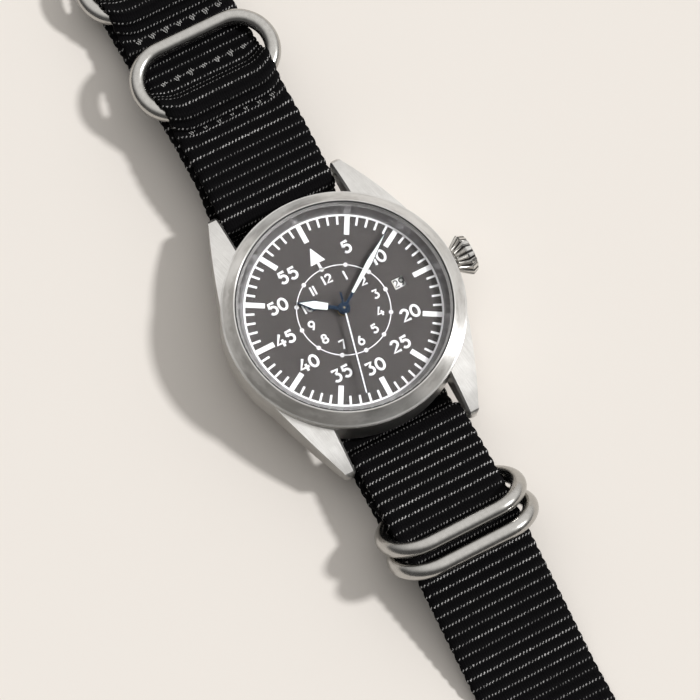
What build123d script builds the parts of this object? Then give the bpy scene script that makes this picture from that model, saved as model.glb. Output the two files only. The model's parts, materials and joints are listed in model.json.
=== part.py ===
from build123d import *
import os
from math import asin, atan2, cos, degrees, hypot, isclose, radians, sin, sqrt, tan

# A field watch with a self-winding movement, lying face up on its opened pass-through strap.
# Millimetres. +X points to the crown, +Y to 12 o'clock and +Z out of the dial.
# The origin is on the dial's axis, on the surface that the strap lies on.

# Movement plate, ring round it and case wall: these set the watch's diameter
plate_radius = 12.9
holder_width = 3.45
case_wall = 3.05

# Case
lug_reach = 4.3
lug_gap = 20.2
lug_tip_width = 1.9
lug_flank_shares = ((0.768, 0.660), (0.923, 0.270))
lug_top_shares = ((0.38, 0.93), (0.72, 0.73), (0.975, 0.36))
lug_tip_drop = 0.95
lug_bevel = 0.35
case_height = 7.1
case_chamfer = 0.9
top_wall = 2.15
crown_recess_radius = 2.5
crown_recess_depth = 0.35

# Case back
back_gap = 0.2
back_plate = 0.8
back_flange_inset = 2.0
back_boss_height = 1.1
back_boss_wall = 1.0
back_slot_count = 6
back_slot_size = 1.4
back_slot_depth = 0.35
gasket_size = 0.5

# Bezel, crystal and inner ring
bezel_inset = 0.05
bezel_step = 0.25
bezel_step_height = 0.45
bezel_height = 2.15
bezel_land = 0.2
crystal_thickness = 0.9
crystal_gasket_width = 0.25
crystal_bevel = 0.12
inner_ring_width = 1.4
inner_ring_land = 0.6
inner_ring_height = 1.7

# Movement, from the back to the dial
rotor_back_gap = 0.5
rotor_web = 0.4
rotor_rim_height = 0.9
rotor_inset = 0.3
rotor_rim_width = 2.6
bridge_gap = 0.2
bridge_thickness = 0.8
wheel_space = 2.0
plate_thickness = 1.0
motion_space = 0.8
dial_thickness = 0.4
bridge_inset = 0.1
pillar_radius = 0.95
pillar_inset = 1.1
pillar_angles = (35, 75, 190, 250)
screw_head_radius = 0.8
screw_head_height = 0.4
screw_radius = 0.4
screw_length = 1.6
screw_slot = 0.2
jewel_radius = 0.6
jewel_thickness = 0.3
jewel_hole_radius = 0.2
pivot_radius = 0.13
pivot_length = 0.3
arbor_radius = 0.28
wheel_thickness = 0.15
pinion_length = 0.35
plate_foot_radius = 0.35
plate_foot_inset = 0.8
plate_foot_angles = (60, 240)
plate_foot_length = 0.7

# Running fits and seats
running_gap = 0.06
seat_gap = 0.02
shake_gap = 0.05
overrun = 1.0

# Teeth, as shares of the pitch across and of the module in height
root_share = 0.30
tip_share = 0.13
addendum_share = 1.0
dedendum_share = 1.25

# Going train. Each wheel drives the pinion after it.
wheel_teeth = 80
third_teeth = 75
barrel_teeth = 80
train_pinion_leaves = 10
escape_pinion_leaves = 8
barrel_module = 0.12
centre_module = 0.085
escape_module = 0.08
barrel_angle = 60
third_angle = 150
escape_angle = -120
wheel_rim = 0.5
wheel_arms = 4
wheel_arm_width = 0.35
fourth_wheel_lift = 0.2
third_wheel_lift = 0.4
barrel_lift = 0.6
barrel_height = 1.05
barrel_wall = 0.2
barrel_tooth_height = 0.25
barrel_arbor_radius = 0.75
mainspring_turns = 7
mainspring_strip = 0.12
centre_wheel_lift = 1.9
centre_tube_bore = 0.2
centre_tube_radius = 0.32

# Escapement
escape_teeth = 15
escape_radius = 2.0
escape_tooth_depth = 0.45
escape_back_share = 0.45
escape_tip_share = 0.60
escape_front_share = 0.62
escape_lift = 1.5
fork_distance = 2.72
pallet_gap = 0.2
pallet_angle = 30
pallet_width = 0.3
pallet_length = 0.55
fork_width = 0.35
fork_horn_width = 0.5
fork_thickness = 0.15
balance_x = 4.6
balance_y = -5.6
balance_radius = 3.5
balance_rim = 0.5
balance_thickness = 0.3
balance_lift = 0.8
balance_arm_width = 0.5
balance_pocket_radius = 3.3
roller_radius = 0.6
roller_pin_place_radius = 0.42
roller_pin_radius = 0.1
hairspring_inner = 0.5
hairspring_outer = 2.2
hairspring_turns = 7
hairspring_strip = 0.05
hairspring_lift = 0.35
cock_width = 3.0

# Motion work and calendar
motion_module = 0.15
cannon_leaves = 10
minute_wheel_teeth = 30
minute_pinion_leaves = 8
hour_wheel_teeth = 32
motion_angle = 150
motion_lift = 0.1
cannon_bore = 0.38
cannon_radius = 0.52
hour_tube_bore = 0.58
hour_tube_radius = 0.78
dial_inset = 0.15
dial_hole_radius = 1.0
date_place = 9.8
date_window_length = 2.0
date_window_height = 1.75
date_ring_inner = 8.7
date_ring_outer = 11.2
date_ring_teeth = 31
date_tooth_depth = 0.35
date_ring_thickness = 0.25
date_ring_lift = 0.35
calendar_plate_inner = 5.6
calendar_plate_outer = 9.1
calendar_plate_thickness = 0.12
calendar_post_radius = 0.4
calendar_post_place_radius = 7.0
calendar_post_count = 3

# Hands
hand_thickness = 0.15
hand_hub_radius = 1.0
hour_hand_clock_angle = 304.5
minute_hand_clock_angle = 55.5
seconds_hand_clock_angle = 194.0
hour_hand_length = 7.6
minute_hand_length = 14.9
seconds_hand_length = 14.4
hour_hand_lift = 0.45
minute_hand_lift = 0.8
seconds_hand_lift = 1.15
hour_shank_width = 0.55
hour_blade_width = 1.8
hour_blade_shares = (0.38, 0.62)
minute_shank_width = 0.45
minute_blade_width = 1.0
minute_blade_shares = (0.28, 0.62)
seconds_width = 0.32
seconds_tail = 2.6
seconds_hub_radius = 0.75

# Crown and winding
crown_drop = 2.9
crown_gap = 0.55
crown_length = 2.95
crown_neck_radius = 2.0
crown_widest_radius = 3.4
crown_widest_share = 0.66
crown_end_radius = 2.95
crown_rim = 0.22
crown_flutes = 18
crown_flute_radius = 0.5
crown_flute_depth = 0.15
crown_notch_width = 0.52
crown_notch_depth = 0.32
crown_bore_radius = 1.5
crown_bore_depth = 1.5
crown_tube_radius = 1.2
crown_tube_bore = 0.7
crown_tube_sunk = 2.9
crown_tube_proud = 1.5
stem_radius = 0.6
stem_square_radius = 0.4
stem_lead = 0.5
stem_shoulder_gap = 1.1
stem_reach = 2.05
ratchet_teeth = 48
crown_wheel_teeth = 40
winding_module = 0.12
ratchet_thickness = 0.25
ratchet_gap = 0.12
winding_pinion_radius = 0.95
winding_pinion_teeth = 15
winding_pinion_start = 7.1
winding_pinion_length = 1.3
pinion_gap = 0.3
sliding_pinion_length = 1.6
keyless_recess_width = 2.3
keyless_recess_depth = 0.5
crown_wheel_screw_radius = 0.6

# Spring bars
bar_inset = 1.5
bar_height = 5.4
bar_radius = 0.75
bar_bore = 0.55
bar_end_gap = 0.15
plunger_radius = 0.48
plunger_length = 2.4
plunger_tip_radius = 0.38
plunger_tip_length = 0.9
plunger_travel = 0.9
bar_spring_bore = 0.25
bar_spring_radius = 0.45

# Strap. What reaches along it is measured from the spring bar.
strap_width = 19.6
strap_shift = -0.05
strap_thickness = 1.3
layer_gap = 0.1
strap_bar_gap = 0.1
strap_lift_over_loops = 1.4
strap_fold_radius = 1.6
strap_bend_radius = 3.0
strap_foot_reach_6 = 43.8
# The strap arches up from the spring bar, then comes down to the buckle
strap_arch_reach = 10.3
strap_arch_height = 8.5
strap_arch_radius = 25
under_strap_rise_reach = 3.0
under_strap_arch_reach = 7.3
under_strap_arch_height = 5.9
under_strap_join_reach = 14.4
strap_tail_reach = 167.8
strap_tip_radius = 8.6
hump_slope = 45
strap_fold_reach = 48.7
under_strap_gap = 2.6
under_strap_reach = 2.3
hole_radius = 1.05
hole_first_reach = 49.8
hole_pitch = 8.5
hole_count = 13

# Rings and buckle, all of one wire
wire_radius = 1.3
ring_length = 25.7
ring_height = 14.1
outer_keeper_reach = 38.6
inner_keeper_reach = 18.85
inner_loop_reach = 9.7
outer_loop_reach = 13.6
loop_tilt = 48
buckle_reach = 57.8
ring_sweep_angles = (-30, 210)
buckle_sweep_angles = (-75, 195)
tongue_width = 1.8
tongue_thickness = 0.9
tongue_eye_wall = 0.9
tongue_overhang = 1.3
tongue_slot_gap = 0.35
tongue_slot_length = 5.2

# Radii that follow from the sizes above
case_bore_radius = plate_radius + holder_width
case_radius = case_bore_radius + case_wall
top_bore_radius = case_radius - top_wall
back_flange_radius = case_radius - back_flange_inset
bezel_radius = case_radius - bezel_inset
crystal_radius = top_bore_radius - crystal_gasket_width
inner_ring_opening = top_bore_radius - inner_ring_width
inner_ring_top_radius = top_bore_radius - inner_ring_land
rotor_radius = plate_radius - rotor_inset
bridge_radius = plate_radius - bridge_inset
pillar_place_radius = plate_radius - pillar_inset
plate_foot_place_radius = plate_radius - plate_foot_inset
dial_radius = case_bore_radius - dial_inset
half_lugs = case_radius + lug_reach
inner_lug = lug_gap / 2

# Places along the winding stem
crown_start = case_radius + crown_gap
crown_tube_start = case_radius - crown_tube_sunk
crown_tube_end = case_radius + crown_tube_proud
stem_start = winding_pinion_start - stem_lead
sliding_pinion_start = winding_pinion_start + winding_pinion_length + pinion_gap
stem_shoulder = sliding_pinion_start + sliding_pinion_length + stem_shoulder_gap
stem_end = crown_start + stem_reach

# Places along the strap
bar_place = half_lugs - bar_inset
strap_arch_place = bar_place + strap_arch_reach
strap_foot_6 = bar_place + strap_foot_reach_6
strap_tail_end = bar_place + strap_tail_reach
strap_fold_end = bar_place + strap_fold_reach
under_strap_start = strap_fold_end - under_strap_gap
under_strap_end = bar_place + under_strap_reach
hole_first = bar_place + hole_first_reach
keeper_places = (bar_place + outer_keeper_reach, bar_place + inner_keeper_reach)
loop_places = (-bar_place - inner_loop_reach, -bar_place - outer_loop_reach)
buckle_place = bar_place + buckle_reach

# Heights that follow from the sizes above
lower_layer = strap_thickness / 2
upper_layer = lower_layer + strap_thickness + layer_gap
back_bottom = 2 * strap_thickness + layer_gap + back_gap
case_bottom = back_bottom + back_plate
case_top = case_bottom + case_height
rotor_bottom = case_bottom + rotor_back_gap
bridge_bottom = rotor_bottom + rotor_rim_height + bridge_gap
bridge_top = bridge_bottom + bridge_thickness
plate_bottom = bridge_top + wheel_space
plate_top = plate_bottom + plate_thickness
dial_bottom = plate_top + motion_space
dial_top = dial_bottom + dial_thickness
inner_ring_bottom = dial_top + seat_gap
inner_ring_top = inner_ring_bottom + inner_ring_height
crystal_bottom = inner_ring_top + seat_gap
crystal_top = crystal_bottom + crystal_thickness
crown_height = dial_top - crown_drop
ring_straight = (ring_length - ring_height) / 2
ring_bend = ring_height / 2 - wire_radius
ring_reach = 2 * ring_bend
wire_height = strap_thickness + layer_gap + wire_radius
hump_radius = wire_radius + strap_bar_gap + strap_thickness / 2
hump_top = wire_height + hump_radius
hump_half_top = hump_radius * tan(radians(hump_slope / 2)) + layer_gap
hump_rise = hump_top - upper_layer
buckle_foot = buckle_place - hump_half_top - hump_rise
strap_slope = degrees(atan2(strap_arch_height - upper_layer, buckle_foot - strap_arch_place))
ring_rest_angle = degrees(asin((strap_thickness + strap_bar_gap) / ring_reach))
buckle_tilt = -ring_rest_angle
# A keeper's bends rest on the strap's edges before its far bar comes down
strap_edge = strap_width / 2 + abs(strap_shift)
edge_reach = ring_bend + sqrt(ring_bend**2 - (strap_edge - ring_straight) ** 2)
keeper_tilt = degrees(asin((strap_thickness + strap_bar_gap) / edge_reach)) - strap_slope

# Places of the wheels
barrel_distance = barrel_module * (barrel_teeth + train_pinion_leaves) / 2
third_distance = centre_module * (wheel_teeth + train_pinion_leaves) / 2
third_module = 2 * third_distance / (third_teeth + train_pinion_leaves)
escape_distance = escape_module * (wheel_teeth + escape_pinion_leaves) / 2
motion_distance = motion_module * (cannon_leaves + minute_wheel_teeth) / 2
winding_distance = winding_module * (ratchet_teeth + crown_wheel_teeth) / 2


def polar(distance, angle):
    """The point at a distance from the dial's axis, at an angle from +X."""
    return (distance * cos(radians(angle)), distance * sin(radians(angle)))


barrel_place = polar(barrel_distance, barrel_angle)
third_place = polar(third_distance, third_angle)
escape_place = polar(escape_distance, escape_angle)
balance_place = (balance_x, balance_y)
minute_wheel_place = polar(motion_distance, motion_angle)
crown_wheel_x = barrel_place[0] + sqrt(winding_distance**2 - barrel_place[1] ** 2)
crown_wheel_place = (crown_wheel_x, 0)
escape_to_balance = degrees(
    atan2(balance_place[1] - escape_place[1], balance_place[0] - escape_place[0])
)
fork_step = polar(fork_distance, escape_to_balance)
fork_place = (escape_place[0] + fork_step[0], escape_place[1] + fork_step[1])
fork_to_balance = hypot(balance_place[0] - fork_place[0], balance_place[1] - fork_place[1])
jewelled_places = ((0, 0), third_place, escape_place, fork_place, balance_place)


def angle_between(start, end):
    """The direction from one place to another, in degrees from +X."""
    return degrees(atan2(end[1] - start[1], end[0] - start[0]))


def post(radius, bottom, top, place=(0, 0), mode=Mode.ADD):
    """A round post or hole between two heights."""
    with Locations((place[0], place[1], (bottom + top) / 2)):
        Cylinder(radius, top - bottom, mode=mode)


def slab(outline, bottom, top, mode=Mode.ADD):
    """An outline in plan, raised between two heights."""
    with BuildSketch(Plane.XY.offset(bottom)) as plan:
        Polygon(*outline, align=None)
    extrude(plan.sketch, amount=top - bottom, mode=mode)


def turned(outline, mode=Mode.ADD):
    """A section of (radius, height) points turned about the dial's axis."""
    with BuildSketch(Plane.XZ) as section:
        Polygon(*outline, align=None)
    revolve(section.sketch, axis=Axis.Z, mode=mode)


def turned_on_stem(outline, mode=Mode.ADD):
    """A section of (x, radius) points turned about the winding stem's axis."""
    with BuildSketch(Plane((0, 0, crown_height), x_dir=(1, 0, 0), z_dir=(0, -1, 0))) as section:
        Polygon(*outline, align=None)
    revolve(section.sketch, axis=Axis((0, 0, crown_height), (1, 0, 0)), mode=mode)


def gear_outline(teeth, root_radius, tip_radius, place=(0, 0), facing=0):
    """Straight-sided teeth, with one tooth centred on the facing angle."""
    points = []
    pitch = 360 / teeth
    for tooth in range(teeth):
        middle = facing + tooth * pitch
        for radius, share in (
            (root_radius, -root_share),
            (tip_radius, -tip_share),
            (tip_radius, tip_share),
            (root_radius, root_share),
        ):
            x, y = polar(radius, middle + share * pitch)
            points.append((place[0] + x, place[1] + y))
    return points


def wheel(teeth, module, bottom, top, place, facing):
    """A toothed wheel or pinion between two heights."""
    pitch_radius = teeth * module / 2
    outline = gear_outline(
        teeth,
        pitch_radius - dedendum_share * module,
        pitch_radius + addendum_share * module,
        place,
        facing,
    )
    slab(outline, bottom, top)


def crossings(inner_radius, outer_radius, bottom, top, place, arms, arm_width):
    """Cuts a wheel away between its hub and its rim, and leaves the arms."""
    with BuildSketch(Plane.XY.offset(bottom - overrun)) as window:
        with Locations(place):
            Circle(outer_radius)
            Circle(inner_radius, mode=Mode.SUBTRACT)
            for arm in range(arms // 2):
                Rectangle(
                    2 * outer_radius + overrun,
                    arm_width,
                    rotation=arm * 360 / arms,
                    mode=Mode.SUBTRACT,
                )
    extrude(window.sketch, amount=top - bottom + 2 * overrun, mode=Mode.SUBTRACT)


def pivots(bottom, top, place):
    """An arbor between the two plates, with a thin pivot in each jewel."""
    post(arbor_radius, bottom, top, place)
    post(pivot_radius, bottom - shake_gap - pivot_length, top + shake_gap + pivot_length, place)


def spiral_outline(inner_radius, outer_radius, turns, strip, place, steps_a_turn=20):
    """A flat strip wound in even turns from the inside out."""
    steps = int(turns * steps_a_turn)
    inside, outside = [], []
    for step in range(steps + 1):
        radius = inner_radius + (outer_radius - inner_radius) * step / steps
        angle = 360 * turns * step / steps
        for side, offset in ((inside, -strip / 2), (outside, strip / 2)):
            x, y = polar(radius + offset, angle)
            side.append((place[0] + x, place[1] + y))
    return outside + inside[::-1]


def save(piece, name):
    """Labels a finished piece and writes it under its name."""
    piece.part.label = name
    export_step(piece.part, f"parts/{name}.step")


os.makedirs("parts", exist_ok=True)


# Case middle, with its four lugs
def lug_corner(share_pair):
    return (share_pair[0] * case_radius, share_pair[1] * half_lugs)


with BuildPart() as case_middle:
    with BuildSketch(Plane.XY.offset(back_bottom)) as lug_plan:
        with BuildLine():
            flank_mid = lug_corner(lug_flank_shares[0])
            flank_end = lug_corner(lug_flank_shares[1])
            tip_outer = (inner_lug + lug_tip_width, half_lugs - lug_tip_drop)
            tip_middle = (inner_lug + lug_tip_width / 2, half_lugs)
            tip_inner = (inner_lug, half_lugs - lug_tip_drop / 2)
            ThreePointArc(tip_outer, flank_mid, flank_end)
            Polyline(flank_end, (inner_lug, flank_end[1]), tip_inner)
            ThreePointArc(tip_inner, tip_middle, tip_outer)
        make_face()
        mirror(about=Plane.XZ)
        mirror(about=Plane.YZ)
    extrude(amount=case_top - back_bottom)
    # The lugs slope down from the case to their tips.
    with BuildSketch(Plane.YZ) as lug_side:
        with BuildLine():
            lug_rise = case_top - bar_height
            top_points = [
                (share[0] * half_lugs, bar_height + share[1] * lug_rise)
                for share in lug_top_shares
            ]
            tip_bottom = (bar_place, bar_height - bar_radius - lug_bevel)
            tip_front = (half_lugs, bar_height)
            Line((0, case_top), top_points[0])
            ThreePointArc(*top_points)
            ThreePointArc(top_points[2], tip_front, tip_bottom)
            Polyline(tip_bottom, (0, tip_bottom[1]), (0, case_top))
        make_face()
        mirror(about=Plane.YZ)
    extrude(amount=case_radius, both=True, mode=Mode.INTERSECT)
    # A bright bevel runs along the inner edge of each lug's top.
    lug_edges = [
        edge
        for edge in case_middle.edges().filter_by(GeomType.CIRCLE)
        if isclose(abs(edge.center().X), inner_lug)
        and edge.center().Z > (bar_height + case_top) / 2
    ]
    chamfer(lug_edges, length=lug_bevel)
    turned(
        (
            (0, case_bottom),
            (case_radius - case_chamfer, case_bottom),
            (case_radius, case_bottom + case_chamfer),
            (case_radius, case_top),
            (0, case_top),
        )
    )
    turned(
        (
            (0, back_bottom - overrun),
            (case_bore_radius, back_bottom - overrun),
            (case_bore_radius, dial_top),
            (top_bore_radius, dial_top),
            (top_bore_radius, case_top + overrun),
            (0, case_top + overrun),
        ),
        mode=Mode.SUBTRACT,
    )
    with Locations(Plane((0, 0, crown_height), z_dir=(1, 0, 0))):
        with Locations((0, 0, (case_bore_radius + case_radius) / 2)):
            Cylinder(crown_tube_radius + seat_gap, case_radius, mode=Mode.SUBTRACT)
        with Locations((0, 0, case_radius + overrun - crown_recess_depth)):
            Cylinder(crown_recess_radius, 2 * overrun, mode=Mode.SUBTRACT)
    # Blind holes in the lugs take the tips of the spring bars.
    for side in (1, -1):
        with Locations(Plane((0, side * bar_place, bar_height), z_dir=(1, 0, 0))):
            Cylinder(
                plunger_tip_radius + running_gap,
                lug_gap + 2 * (plunger_tip_length + running_gap),
                mode=Mode.SUBTRACT,
            )
save(case_middle, "case_middle")

# Bezel
with BuildPart() as bezel:
    bezel_top = case_top + bezel_height
    turned(
        (
            (top_bore_radius, case_top),
            (bezel_radius - bezel_step, case_top),
            (bezel_radius, case_top + bezel_step),
            (bezel_radius, case_top + bezel_step_height),
            (bezel_radius - bezel_step, case_top + bezel_step_height + bezel_step / 2),
            (top_bore_radius + bezel_land, bezel_top),
            (top_bore_radius, bezel_top),
        )
    )
save(bezel, "bezel")

# Crystal, its gasket and the sloped ring round the dial
with BuildPart() as crystal:
    post(crystal_radius, crystal_bottom, crystal_top)
    chamfer(crystal.edges().group_by(Axis.Z)[-1], length=crystal_bevel)
save(crystal, "crystal")

with BuildPart() as crystal_gasket:
    gasket_top = crystal_top - crystal_bevel - shake_gap
    post(top_bore_radius - seat_gap, crystal_bottom, gasket_top)
    post(crystal_radius + seat_gap, crystal_bottom, gasket_top, mode=Mode.SUBTRACT)
save(crystal_gasket, "crystal_gasket")

with BuildPart() as inner_ring:
    turned(
        (
            (inner_ring_opening, inner_ring_bottom),
            (top_bore_radius - seat_gap, inner_ring_bottom),
            (top_bore_radius - seat_gap, inner_ring_top),
            (inner_ring_top_radius, inner_ring_top),
        )
    )
save(inner_ring, "inner_ring")

# Dial, with its date window and two feet
with BuildPart() as dial:
    post(dial_radius, dial_bottom, dial_top)
    post(dial_hole_radius, dial_bottom, dial_top, mode=Mode.SUBTRACT)
    with Locations((date_place, 0, (dial_bottom + dial_top) / 2)):
        Box(date_window_length, date_window_height, 2 * dial_thickness, mode=Mode.SUBTRACT)
    for angle in plate_foot_angles:
        place = polar(plate_foot_place_radius, angle)
        post(plate_foot_radius, plate_top - plate_foot_length, dial_bottom, place)
save(dial, "dial")

# Ring that holds the movement in the case
with BuildPart() as movement_holder:
    holder_bottom = case_bottom + back_boss_height + seat_gap
    post(case_bore_radius - shake_gap, holder_bottom, dial_bottom - seat_gap)
    post(
        plate_radius + shake_gap,
        holder_bottom - overrun,
        dial_bottom + overrun,
        mode=Mode.SUBTRACT,
    )
    turned_on_stem(
        (
            (plate_radius - overrun, 0),
            (plate_radius - overrun, crown_tube_bore),
            (case_radius, crown_tube_bore),
            (case_radius, 0),
        ),
        mode=Mode.SUBTRACT,
    )
save(movement_holder, "movement_holder")

# Case back, screwed into the middle, and its gasket
with BuildPart() as case_back:
    boss_radius = case_bore_radius - shake_gap
    turned(
        (
            (0, back_bottom),
            (back_flange_radius, back_bottom),
            (back_flange_radius, case_bottom),
            (boss_radius, case_bottom),
            (boss_radius, case_bottom + back_boss_height),
            (boss_radius - back_boss_wall, case_bottom + back_boss_height),
            (boss_radius - back_boss_wall, case_bottom),
            (0, case_bottom),
        )
    )
    with PolarLocations(back_flange_radius, back_slot_count):
        with Locations((0, 0, back_bottom)):
            Box(back_slot_size, back_slot_size, 2 * back_slot_depth, mode=Mode.SUBTRACT)
    # Groove of the gasket
    turned(
        (
            (boss_radius - gasket_size, case_bottom),
            (boss_radius, case_bottom),
            (boss_radius, case_bottom + gasket_size),
            (boss_radius - gasket_size, case_bottom + gasket_size),
        ),
        mode=Mode.SUBTRACT,
    )
save(case_back, "case_back")

with BuildPart() as case_back_gasket:
    turned(
        (
            (boss_radius - gasket_size + seat_gap, case_bottom + seat_gap),
            (boss_radius, case_bottom + seat_gap),
            (boss_radius, case_bottom + gasket_size - seat_gap),
            (boss_radius - gasket_size + seat_gap, case_bottom + gasket_size - seat_gap),
        )
    )
save(case_back_gasket, "case_back_gasket")

# Main plate: pillars for the bridges, jewel seats and the recess of the winding pinions
stem_recess_start = winding_pinion_start - running_gap
with BuildPart() as main_plate:
    post(plate_radius, plate_bottom, plate_top)
    pillar_places = [polar(pillar_place_radius, angle) for angle in pillar_angles]
    cock_foot_angle = angle_between((0, 0), balance_place)
    cock_foot_place = polar(pillar_place_radius, cock_foot_angle)
    for place in pillar_places + [cock_foot_place]:
        post(pillar_radius, bridge_top, plate_bottom, place)
        post(
            screw_radius + seat_gap,
            bridge_top - overrun,
            bridge_top + screw_length,
            place,
            mode=Mode.SUBTRACT,
        )
    for place in jewelled_places[1:]:
        post(jewel_radius, plate_bottom, plate_bottom + jewel_thickness, place, mode=Mode.SUBTRACT)
        hole_top = plate_bottom + jewel_thickness + pivot_length
        post(jewel_hole_radius, plate_bottom, hole_top, place, mode=Mode.SUBTRACT)
    centre_hole = centre_tube_radius + running_gap
    post(centre_hole, plate_bottom - overrun, plate_top + overrun, mode=Mode.SUBTRACT)
    for angle in plate_foot_angles:
        place = polar(plate_foot_place_radius, angle)
        foot_depth = plate_top - plate_foot_length - seat_gap
        post(
            plate_foot_radius + seat_gap,
            foot_depth,
            plate_top + overrun,
            place,
            mode=Mode.SUBTRACT,
        )
    with Locations((stem_recess_start, 0, plate_bottom + keyless_recess_depth)):
        Box(
            plate_radius,
            keyless_recess_width,
            2 * keyless_recess_depth,
            align=(Align.MIN, Align.CENTER, Align.MAX),
            mode=Mode.SUBTRACT,
        )
    # The post that the minute wheel turns on, and the posts of the calendar plate
    minute_post_top = plate_top + motion_lift + 2 * wheel_thickness + 2 * pinion_length
    post(arbor_radius, plate_top, minute_post_top - pinion_length, minute_wheel_place)
    calendar_bottom = plate_top + date_ring_lift + date_ring_thickness + shake_gap
    with PolarLocations(calendar_post_place_radius, calendar_post_count):
        with Locations((0, 0, (plate_top + calendar_bottom) / 2)):
            Cylinder(calendar_post_radius, calendar_bottom - plate_top)
save(main_plate, "main_plate")

# Train bridge, open where the balance swings
with BuildPart() as train_bridge:
    post(bridge_radius, bridge_bottom, bridge_top)
    post(
        balance_pocket_radius,
        bridge_bottom - overrun,
        bridge_top + overrun,
        balance_place,
        mode=Mode.SUBTRACT,
    )
    with BuildSketch(Plane.XY.offset(bridge_bottom - overrun)) as pocket_mouth:
        with Locations(Rotation(0, 0, cock_foot_angle)):
            with Locations((bridge_radius, 0)):
                Rectangle(bridge_radius, 2 * balance_pocket_radius)
    extrude(amount=bridge_thickness + 2 * overrun, mode=Mode.SUBTRACT)
    for place in pillar_places:
        post(
            screw_radius + seat_gap,
            bridge_bottom - overrun,
            bridge_top + overrun,
            place,
            mode=Mode.SUBTRACT,
        )
        post(
            screw_head_radius + seat_gap,
            bridge_bottom - overrun,
            bridge_bottom + screw_head_height + seat_gap,
            place,
            mode=Mode.SUBTRACT,
        )
    for place in jewelled_places[:4]:
        post(jewel_radius, bridge_top - jewel_thickness, bridge_top, place, mode=Mode.SUBTRACT)
        hole_bottom = bridge_top - jewel_thickness - pivot_length
        post(jewel_hole_radius, hole_bottom, bridge_top, place, mode=Mode.SUBTRACT)
    barrel_hole = barrel_arbor_radius + running_gap
    post(
        barrel_hole,
        bridge_bottom - overrun,
        bridge_top + overrun,
        barrel_place,
        mode=Mode.SUBTRACT,
    )
    # The post that the crown wheel turns on
    post(
        crown_wheel_screw_radius,
        bridge_bottom - ratchet_thickness - 2 * ratchet_gap,
        bridge_bottom,
        crown_wheel_place,
    )
save(train_bridge, "train_bridge")

# Balance cock
with BuildPart() as balance_cock:
    cock_reach = hypot(*balance_place) - jewel_radius * 2
    cock_end = bridge_radius
    with BuildSketch(Plane.XY.offset(bridge_bottom)) as cock_plan:
        with Locations(Rotation(0, 0, cock_foot_angle)):
            with Locations(((cock_reach + cock_end) / 2, 0)):
                SlotOverall(cock_end - cock_reach, cock_width)
    extrude(amount=bridge_thickness)
    post(bridge_radius, bridge_bottom - overrun, bridge_top + overrun, mode=Mode.INTERSECT)
    post(
        screw_radius + seat_gap,
        bridge_bottom - overrun,
        bridge_top + overrun,
        cock_foot_place,
        mode=Mode.SUBTRACT,
    )
    post(
        screw_head_radius + seat_gap,
        bridge_bottom - overrun,
        bridge_bottom + screw_head_height + seat_gap,
        cock_foot_place,
        mode=Mode.SUBTRACT,
    )
    post(jewel_radius, bridge_top - jewel_thickness, bridge_top, balance_place, mode=Mode.SUBTRACT)
    hole_bottom = bridge_top - jewel_thickness - pivot_length
    post(jewel_hole_radius, hole_bottom, bridge_top, balance_place, mode=Mode.SUBTRACT)
save(balance_cock, "balance_cock")

# Jewel bearings, one under and one over each arbor
with BuildPart() as jewel_bearings:
    for place in jewelled_places:
        bottom = bridge_top - jewel_thickness
        post(jewel_radius - seat_gap, bottom + seat_gap, bridge_top, place)
        post(jewel_hole_radius, bottom, bridge_top, place, mode=Mode.SUBTRACT)
    for place in jewelled_places[1:]:
        top = plate_bottom + jewel_thickness
        post(jewel_radius - seat_gap, plate_bottom, top - seat_gap, place)
        post(jewel_hole_radius, plate_bottom, top, place, mode=Mode.SUBTRACT)
save(jewel_bearings, "jewel_bearings")

# Slotted screws of the bridge and the cock
with BuildPart() as bridge_screws:
    for place in pillar_places + [cock_foot_place]:
        head_top = bridge_bottom + screw_head_height
        post(screw_head_radius, bridge_bottom, head_top, place)
        post(screw_radius, head_top, bridge_top + screw_length - pivot_length, place)
        with Locations((place[0], place[1], bridge_bottom)):
            Box(2 * screw_head_radius, screw_slot, screw_head_height, mode=Mode.SUBTRACT)
save(bridge_screws, "bridge_screws")

# Calendar plate, over the inner edge of the date ring
with BuildPart() as calendar_plate:
    calendar_top = calendar_bottom + calendar_plate_thickness
    post(calendar_plate_outer, calendar_bottom, calendar_top)
    post(calendar_plate_inner, calendar_bottom, calendar_top, mode=Mode.SUBTRACT)
save(calendar_plate, "calendar_plate")


# Arbors run between the bridge and the plate with a little end shake.
arbor_bottom = bridge_top + shake_gap
arbor_top = plate_bottom - shake_gap

# Seconds: the fourth wheel turns in the middle and carries the hand
fourth_bottom = bridge_top + fourth_wheel_lift
third_bottom = bridge_top + third_wheel_lift
centre_bottom = bridge_top + centre_wheel_lift - wheel_thickness
seconds_bottom = dial_top + seconds_hand_lift
with BuildPart() as fourth_wheel:
    wheel(
        wheel_teeth,
        escape_module,
        fourth_bottom,
        fourth_bottom + wheel_thickness,
        (0, 0),
        escape_angle,
    )
    rim_inner = wheel_teeth * escape_module / 2 - wheel_rim
    crossings(
        arbor_radius * 2,
        rim_inner,
        fourth_bottom,
        fourth_bottom + wheel_thickness,
        (0, 0),
        wheel_arms,
        wheel_arm_width,
    )
    wheel(
        train_pinion_leaves,
        third_module,
        fourth_bottom,
        third_bottom + wheel_thickness + shake_gap,
        (0, 0),
        third_angle + 180 / train_pinion_leaves,
    )
    post(arbor_radius, arbor_bottom, fourth_bottom)
    post(pivot_radius, arbor_bottom - shake_gap - pivot_length, seconds_bottom + hand_thickness)
save(fourth_wheel, "fourth_wheel")

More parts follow.
